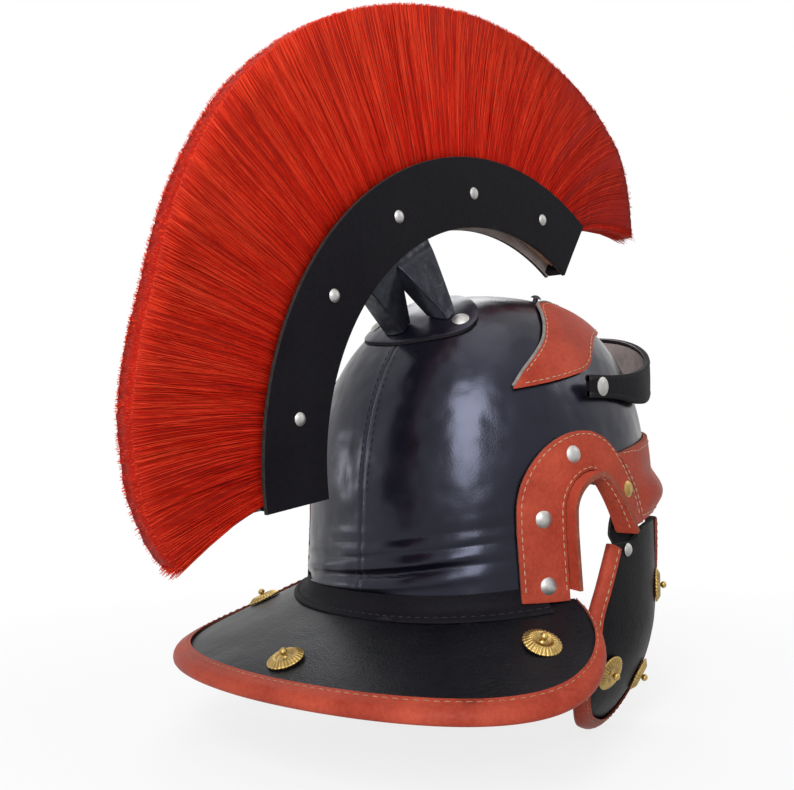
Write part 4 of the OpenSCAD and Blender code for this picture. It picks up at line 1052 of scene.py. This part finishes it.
def leg(a1, a2, foot_x, foot_y):
    """Leg of the stand, between two angles of the crest at its top and spread out on the base plate."""
    narrow = 2 * BOX_HALF - 2 * SEAT
    u = np.linspace(-0.5, 0.5, 11)

    def face(a, shift, crown):
        top = crest_point(a, CREST_IN_R - 1.0, 0.0)
        foot = on_top(float(foot_x), foot_y + shift, BASE_OFF + BASE_T + SEAT)
        low = mix(top, foot, 0.5)
        rows = [(*crest_point(a, CORE_R1 + 6, 0.0), narrow), (*top, narrow),
                (*mix(top, low, 0.35), narrow + 2), (*mix(top, foot, 0.55), mix(narrow, LEG_FOOT_W, 0.8)),
                (*foot, LEG_FOOT_W)]
        rows = spline(rows, 9)
        grid = rows[:, None, :3] + (u * rows[:, 3:4])[..., None] * [1, 0, 0]
        swell = (1 - (2 * u) ** 2) * np.clip(np.arange(len(rows)) - 9, 0, 12)[:, None] / 12
        grid = grid + np.array([0, crown, 0.3 * crown]) * swell[..., None]
        grid[-1] = on_top(grid[-1, :, 0], grid[-1, :, 1], BASE_OFF + BASE_T + SEAT)
        return grid

    return shell_mesh(face(a1, -LEG_T / 2, -0.7), face(a2, LEG_T / 2, 0.9))[:2]


def make_stand():
    crown = arc_layer(LEG_FRONT_A - 2, LEG_REAR_A + 2, CORE_R1, CORE_R2, SEAT - BOX_HALF, BOX_HALF - SEAT, 20)
    build("stand_fork_leather", *joined([crown, leg(LEG_FRONT_A, LEG_FORK_A, *FRONT_FOOT),
          leg(LEG_FORK_A - 1, LEG_REAR_A, *REAR_FOOT)]), [STRAP], nodes="stand_fork", bevel=1.0)
    u = np.sin(np.linspace(-1.45, 1.45, 41))
    half = BASE_HALF_L * (1 - abs(u) ** BASE_ROUND) ** (1 / BASE_ROUND)
    v = np.linspace(-1, 1, 25)
    x, y = u[:, None] * BASE_HALF_W, BASE_Y + half[:, None] * v

    def sheet(off):
        curl = 0.5 * smooth_step(0.7, 1.0, np.hypot(u[:, None], v * 0.9))
        return on_top(x, y, off + curl)

    shell("stand_base_leather", sheet(BASE_OFF + BASE_T), sheet(BASE_OFF), [BLACK, BLACK, BLACK_MATT],
          nodes="stand_base", bevel=0.7)


make_stand()

# Cheek guards
CHEEK_T, CHEEK_TOP_Z, CHEEK_TIP_Z, CHEEK_FRONT_A, CHEEK_REAR_A = 3, 53.5, 66, 40, 106
CHEEK_DRAW, CHEEK_DRAW_Z, CHEEK_DRAW_POWER = 0.41, 80, 1.9
HINGE_Y, HINGE_Z, TAB_W, TAB_T, TAB_L, TAB_LEAN = -10.0, 45.5, 17, 2, 14, 20
TIP = -CHEEK_TIP_Z
REAR = spline([[TIP, 76], [TIP + 2, 83], [TIP + 8, 94], [TIP + 18, 101], [-36, CHEEK_REAR_A - 1],
               [-24, CHEEK_REAR_A], [-9, CHEEK_REAR_A - 1.5], [7, 103], [22, 99], [35, 95.5],
               [HINGE_Z - 1.4, 93]], 8)
FRONT = spline([[TIP, 68], [TIP + 4, 59], [TIP + 13, 51], [-40, 45], [-24, CHEEK_FRONT_A + 1.5],
                [-8, CHEEK_FRONT_A], [8, CHEEK_FRONT_A + 1.5], [24, 45.5], [38, 48.5], [CHEEK_TOP_Z, 50]], 8)
TOP_LINE = np.array([[50, CHEEK_TOP_Z], [67, CHEEK_TOP_Z - 1], [72, CHEEK_TOP_Z - 2.3], [77, HINGE_Z + 1],
                     [80, HINGE_Z - 1.4], [94, HINGE_Z - 1.4]])


def on_cheek(a, z, off=0.0):
    """Point of a cheek guard, which follows the bowl's plan and draws in below the rim."""
    draw = 1 - CHEEK_DRAW * (np.maximum(0, -z) / CHEEK_DRAW_Z) ** CHEEK_DRAW_POWER
    return at_bearing(a, (plan_r(a) + off) * draw, z)


def cheek_normal(a, z):
    return unit(np.cross(on_cheek(a, z + 1) - on_cheek(a, z - 1), on_cheek(a + 1, z) - on_cheek(a - 1, z)))


def front_a(z):
    return np.interp(z, FRONT[:, 0], FRONT[:, 1])


def rear_a(z):
    return np.interp(z, REAR[:, 0], REAR[:, 1])


def make_cheek(word, side):
    body = f"cheek_{word}"
    t = row(0, 1, 45)
    z = (TIP + (HINGE_Z - 6.5 - TIP) * np.linspace(0, 1, 52) ** 1.5)[:, None]
    a = mix(front_a(z), rear_a(z), t)
    top_a = mix(front_a(CHEEK_TOP_Z), rear_a(HINGE_Z), t)
    top_z = np.interp(top_a, TOP_LINE[:, 0], TOP_LINE[:, 1])
    last = np.linspace(0, 1, 7)[1:, None]
    a = np.vstack([a, mix(a[-1:], top_a, last)])
    z = np.vstack([z + 0 * t, mix(z[-1:] + 0 * t, top_z, last)])
    sway = 0.35 * sin(a * 7 + 60 * side) * sin(z * 3)

    def face(off):
        return side_of(on_cheek(a, z, off), side)

    shell(f"cheek_guard_leather_{word}", face(CHEEK_T + sway), face(0.0), [CHEEK_BLACK, FLESH, BLACK_EDGE],
          nodes=f"cheek_guard_{word}", bevel=0.5, body=body)
    down = HINGE_Z - 1.4 - (HINGE_Z - 1.4 - TIP) * sin(np.linspace(0, 90, 60))
    up = TIP + (CHEEK_TOP_Z - TIP) * (1 - cos(np.linspace(0, 90, 64)))
    edge_a = np.concatenate([rear_a(down), [72], front_a(up)])
    edge_z = np.concatenate([down, [TIP - 0.25], up])
    mid, normal = on_cheek(edge_a, edge_z, CHEEK_T / 2), cheek_normal(edge_a, edge_z)
    inward = unit(np.cross(normal, np.gradient(mid, axis=0)))
    out = at_bearing(edge_a, 1.0, 0.0)
    outer, inner, line = folded_binding(mid, inward, out, CHEEK_T + 1.6 * SEAT, BINDING_W * 0.72)
    shell(f"cheek_trim_{word}", side_of(outer, side), side_of(inner, side), RED_FACES,
          nodes=f"cheek_binding_{word}", bevel=0.3, body=body)
    thread = stitches(side_of(line, side), side_of(out, side), pitch=4.6)
    build(f"cheek_stitching_{word}", *thread, [THREAD], body=body)


both_sides(make_cheek)

# Rosettes
ROSETTE_R, FLUTES = 10.2, 28
ROSETTE_SPOTS = [(97, 0.43), (180, 0.67), (263, 0.43)]
CHEEK_SPOTS = [(54, 13), (92, -27), (61, -38)]
ROSETTE_LEANS = np.array([[-0.16, -0.04, 0], [0, 0.05, 0], [0, 0, 0]])


def round_axis(turn, r, z):
    """Point round the axis of a rosette that isn't placed yet."""
    return np.stack(np.broadcast_arrays(r * cos(turn), r * sin(turn), z), -1)


def rosette_mesh():
    """Pressed boss with a fluted skirt round a shallow dish, and a knob on a stem."""
    turn, t = column(0, 360, 6 * FLUTES, endpoint=False), row(0, 1, 20)
    flute = abs(sin(turn * FLUTES / 2))
    r = t * (ROSETTE_R - 0.35 * (1 - flute))
    skirt, dish = smooth_step(ROSETTE_R + 0.6, 6.0, r), smooth_step(6.2, 3.2, r)
    high = 0.7 + 2.2 * skirt - 1.3 * dish + 0.4 * (flute - 0.5) * smooth_step(4.6, 7.0, r)
    plate = shell_mesh(round_axis(turn, r, high), round_axis(turn, r, 0.0), loop=True)[:2]
    curve = spline([[0.05, 6.6], [1.2, 6.3], [2.0, 5.3], [2.1, 4.5], [1.5, 3.5], [1.0, 3.0], [1.2, 2.3],
                    [2.4, 1.3]], 5)
    around = column(0, 360, 28, endpoint=False)
    knob, core = round_axis(around, curve[:, 0], curve[:, 1]), round_axis(around, 0.02, curve[:, 1])
    return joined([plate, shell_mesh(knob, core, loop=True)[:2]])


def stood_on(verts, point, normal, turn=0.0):
    quat = Vector((0, 0, 1)).rotation_difference(Vector(normal)) @ Quaternion((0, 0, 1), turn)
    return verts @ np.array(quat.to_matrix()).T + point


def make_rosettes():
    verts, faces = rosette_mesh()
    spots = [(guard_point(np.float64(q), v), guard_normal(np.float64(q), v)) for q, v in ROSETTE_SPOTS]
    parts = [(stood_on(verts, point + (SEAT + 0.6) * normal, unit(normal + lean), i), faces)
             for i, ((point, normal), lean) in enumerate(zip(spots, ROSETTE_LEANS))]
    build("neck_guard_rosettes", *joined(parts), [BRASS], nodes="neck_rosettes")
    for word, side in SIDES.items():
        parts = []
        for i, (a, z) in enumerate(CHEEK_SPOTS):
            normal = cheek_normal(float(a), float(z))
            seat = on_cheek(a, z, CHEEK_T) + (SEAT + 0.2) * normal
            parts.append((side_of(stood_on(verts, seat, normal, i), side), faces))
        build(f"cheek_guard_rosettes_{word}", *joined(parts), [BRASS], nodes=f"cheek_rosettes_{word}",
              body=f"cheek_{word}")


make_rosettes()

# Hinges
BEND_FROM_Z, BEND_TO_Z, DENSE_FROM_Z, DENSE_TO_Z, DRAW_FROM_Z = 49, 42, 41, 50, 43


def make_hinge(word, side):
    """One leather strap from inside the bowl to the cheek guard, which bends at the hinge line."""
    hinge_a = float(bearing(HINGE_Y, HINGE_Z))
    tab_a = np.degrees(TAB_W / plan_r(hinge_a))
    z = spaced(HINGE_Z - TAB_L, (DENSE_FROM_Z, 5), (DENSE_TO_Z, 12), (EAR_TOP_Z, 15))
    t = np.clip((z - HINGE_Z) / (EAR_TOP_Z - HINGE_Z), 0, 1)
    share = smooth_step(DRAW_FROM_Z, BEND_FROM_Z, z)[:, None]
    a = (hinge_a - TAB_LEAN * t**2)[:, None] + row(-1.2, 0.5, 11) * tab_a
    z = z[:, None] + 0 * a

    def face(depth):
        low, high = on_cheek(a, z, -SEAT - depth), on_bowl(a, z, -BOWL_T - SEAT - depth)
        return side_of(mix(low, high, share[..., None]), side)

    strap = shell(f"hinge_strap_{word}", face(0), face(TAB_T), [BLACK_MATT, FLESH, BLACK_EDGE],
                  nodes=[f"hinge_tab_{word}", f"cheek_tab_{word}"], bevel=0.4, body=None)
    x, y = (side_of(on_cheek(hinge_a, HINGE_Z, -1.5), side) * MM)[:2]
    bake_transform(strap)


both_sides(make_hinge)

# Metal pieces that the frame already has
FINISHES = {STEEL: ["ear_rivets", "visor_rivets", "crest_rivets", "stand_rivets", "tab_rivet_right",
                    "tab_rivet_left"],
            BRASS: ["brow_rivets"], STUD: ["forehead_studs"]}
for finish, names in FINISHES.items():
    for name in names:
        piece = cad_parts[name]
        piece.data.materials.clear()
        piece.data.materials.append(finish)

# Floor, world and lamps
FLOOR_SIZE, WHITE_SHARE, SHADOW_REACH, WORLD_LIGHT = 8.0, 0.8, 0.6, 0.05
WHITE, FLOOR_COLOUR = (1, 1, 1, 1), (0.92, 0.92, 0.92, 1)


def seen_directly(tree):
    """1 where a camera, mirror or glass ray meets the surface, 0 for the light that it gives."""
    path = node(tree, "LightPath").outputs
    seen = maths(tree, "MAXIMUM", path["Is Camera Ray"], path["Is Glossy Ray"])
    return maths(tree, "MAXIMUM", seen, path["Is Transmission Ray"])


def make_floor():
    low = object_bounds()[0][2]
    mesh = bpy.data.meshes.new("floor")
    half = FLOOR_SIZE / 2
    corners = [(-half, -half, low), (half, -half, low), (half, half, low), (-half, half, low)]
    mesh.from_pydata(corners, [], [(0, 1, 2, 3)])
    floor = add_object("floor", mesh)
    made, tree, shader = new_material("floor", Roughness=0.9, Specular_IOR_Level=0.0)
    shader.inputs["Base Color"].default_value = FLOOR_COLOUR
    glow = node(tree, "Emission", {"Color": WHITE, "Strength": 1.0})
    away = node(tree, "VectorMath", {0: place(tree)}, operation="LENGTH").outputs["Value"]
    white = spread(tree, away, WHITE_SHARE, 1.0, 0.15, SHADOW_REACH)
    share = maths(tree, "MULTIPLY", seen_directly(tree), white)
    both = node(tree, "MixShader", {0: share, 1: shader.outputs[0], 2: glow.outputs[0]})
    tree.links.new(both.outputs[0], tree.nodes["Material Output"].inputs["Surface"])
    mesh.materials.append(made)


def make_world():
    world = bpy.data.worlds.new("world")
    bpy.context.scene.world = world
    world.use_nodes = True
    tree = world.node_tree
    back = tree.nodes["Background"]
    back.inputs["Color"].default_value = WHITE
    tree.links.new(spread(tree, seen_directly(tree), WORLD_LIGHT, 1.0, 0.0, 1.0), back.inputs["Strength"])


def lamp(name, azimuth, elevation, distance, size, energy, colour=(1, 1, 1)):
    """Soft box at an azimuth and elevation round the helmet, aimed at its middle."""
    data = bpy.data.lights.new(name, "AREA")
    data.shape, data.energy, data.color = "RECTANGLE", energy, colour
    data.size, data.size_y = size
    made, back = add_object(name, data), direction(azimuth, elevation)
    made.location = CAMERA_TARGET + back * distance
    made.rotation_euler = (-back).to_track_quat("-Z", "Y").to_euler()
    made.visible_camera = False


make_floor()
make_world()
lamp("key", CAMERA_AZIMUTH - 11, 26, distance=1.5, size=(0.52, 1.15), energy=23, colour=(0.93, 0.95, 1.0))
lamp("left", CAMERA_AZIMUTH - 104, 6, distance=1.5, size=(0.2, 0.3), energy=1.2)
lamp("right", CAMERA_AZIMUTH + 95, 35, distance=1.6, size=(0.6, 0.6), energy=3.2)
lamp("front", CAMERA_AZIMUTH + 180, 40, distance=1.8, size=(1.0, 0.8), energy=8)
lamp("top", CAMERA_AZIMUTH, 85, distance=1.6, size=(1.2, 1.2), energy=7)

bpy.context.scene.view_settings.view_transform = "Standard"
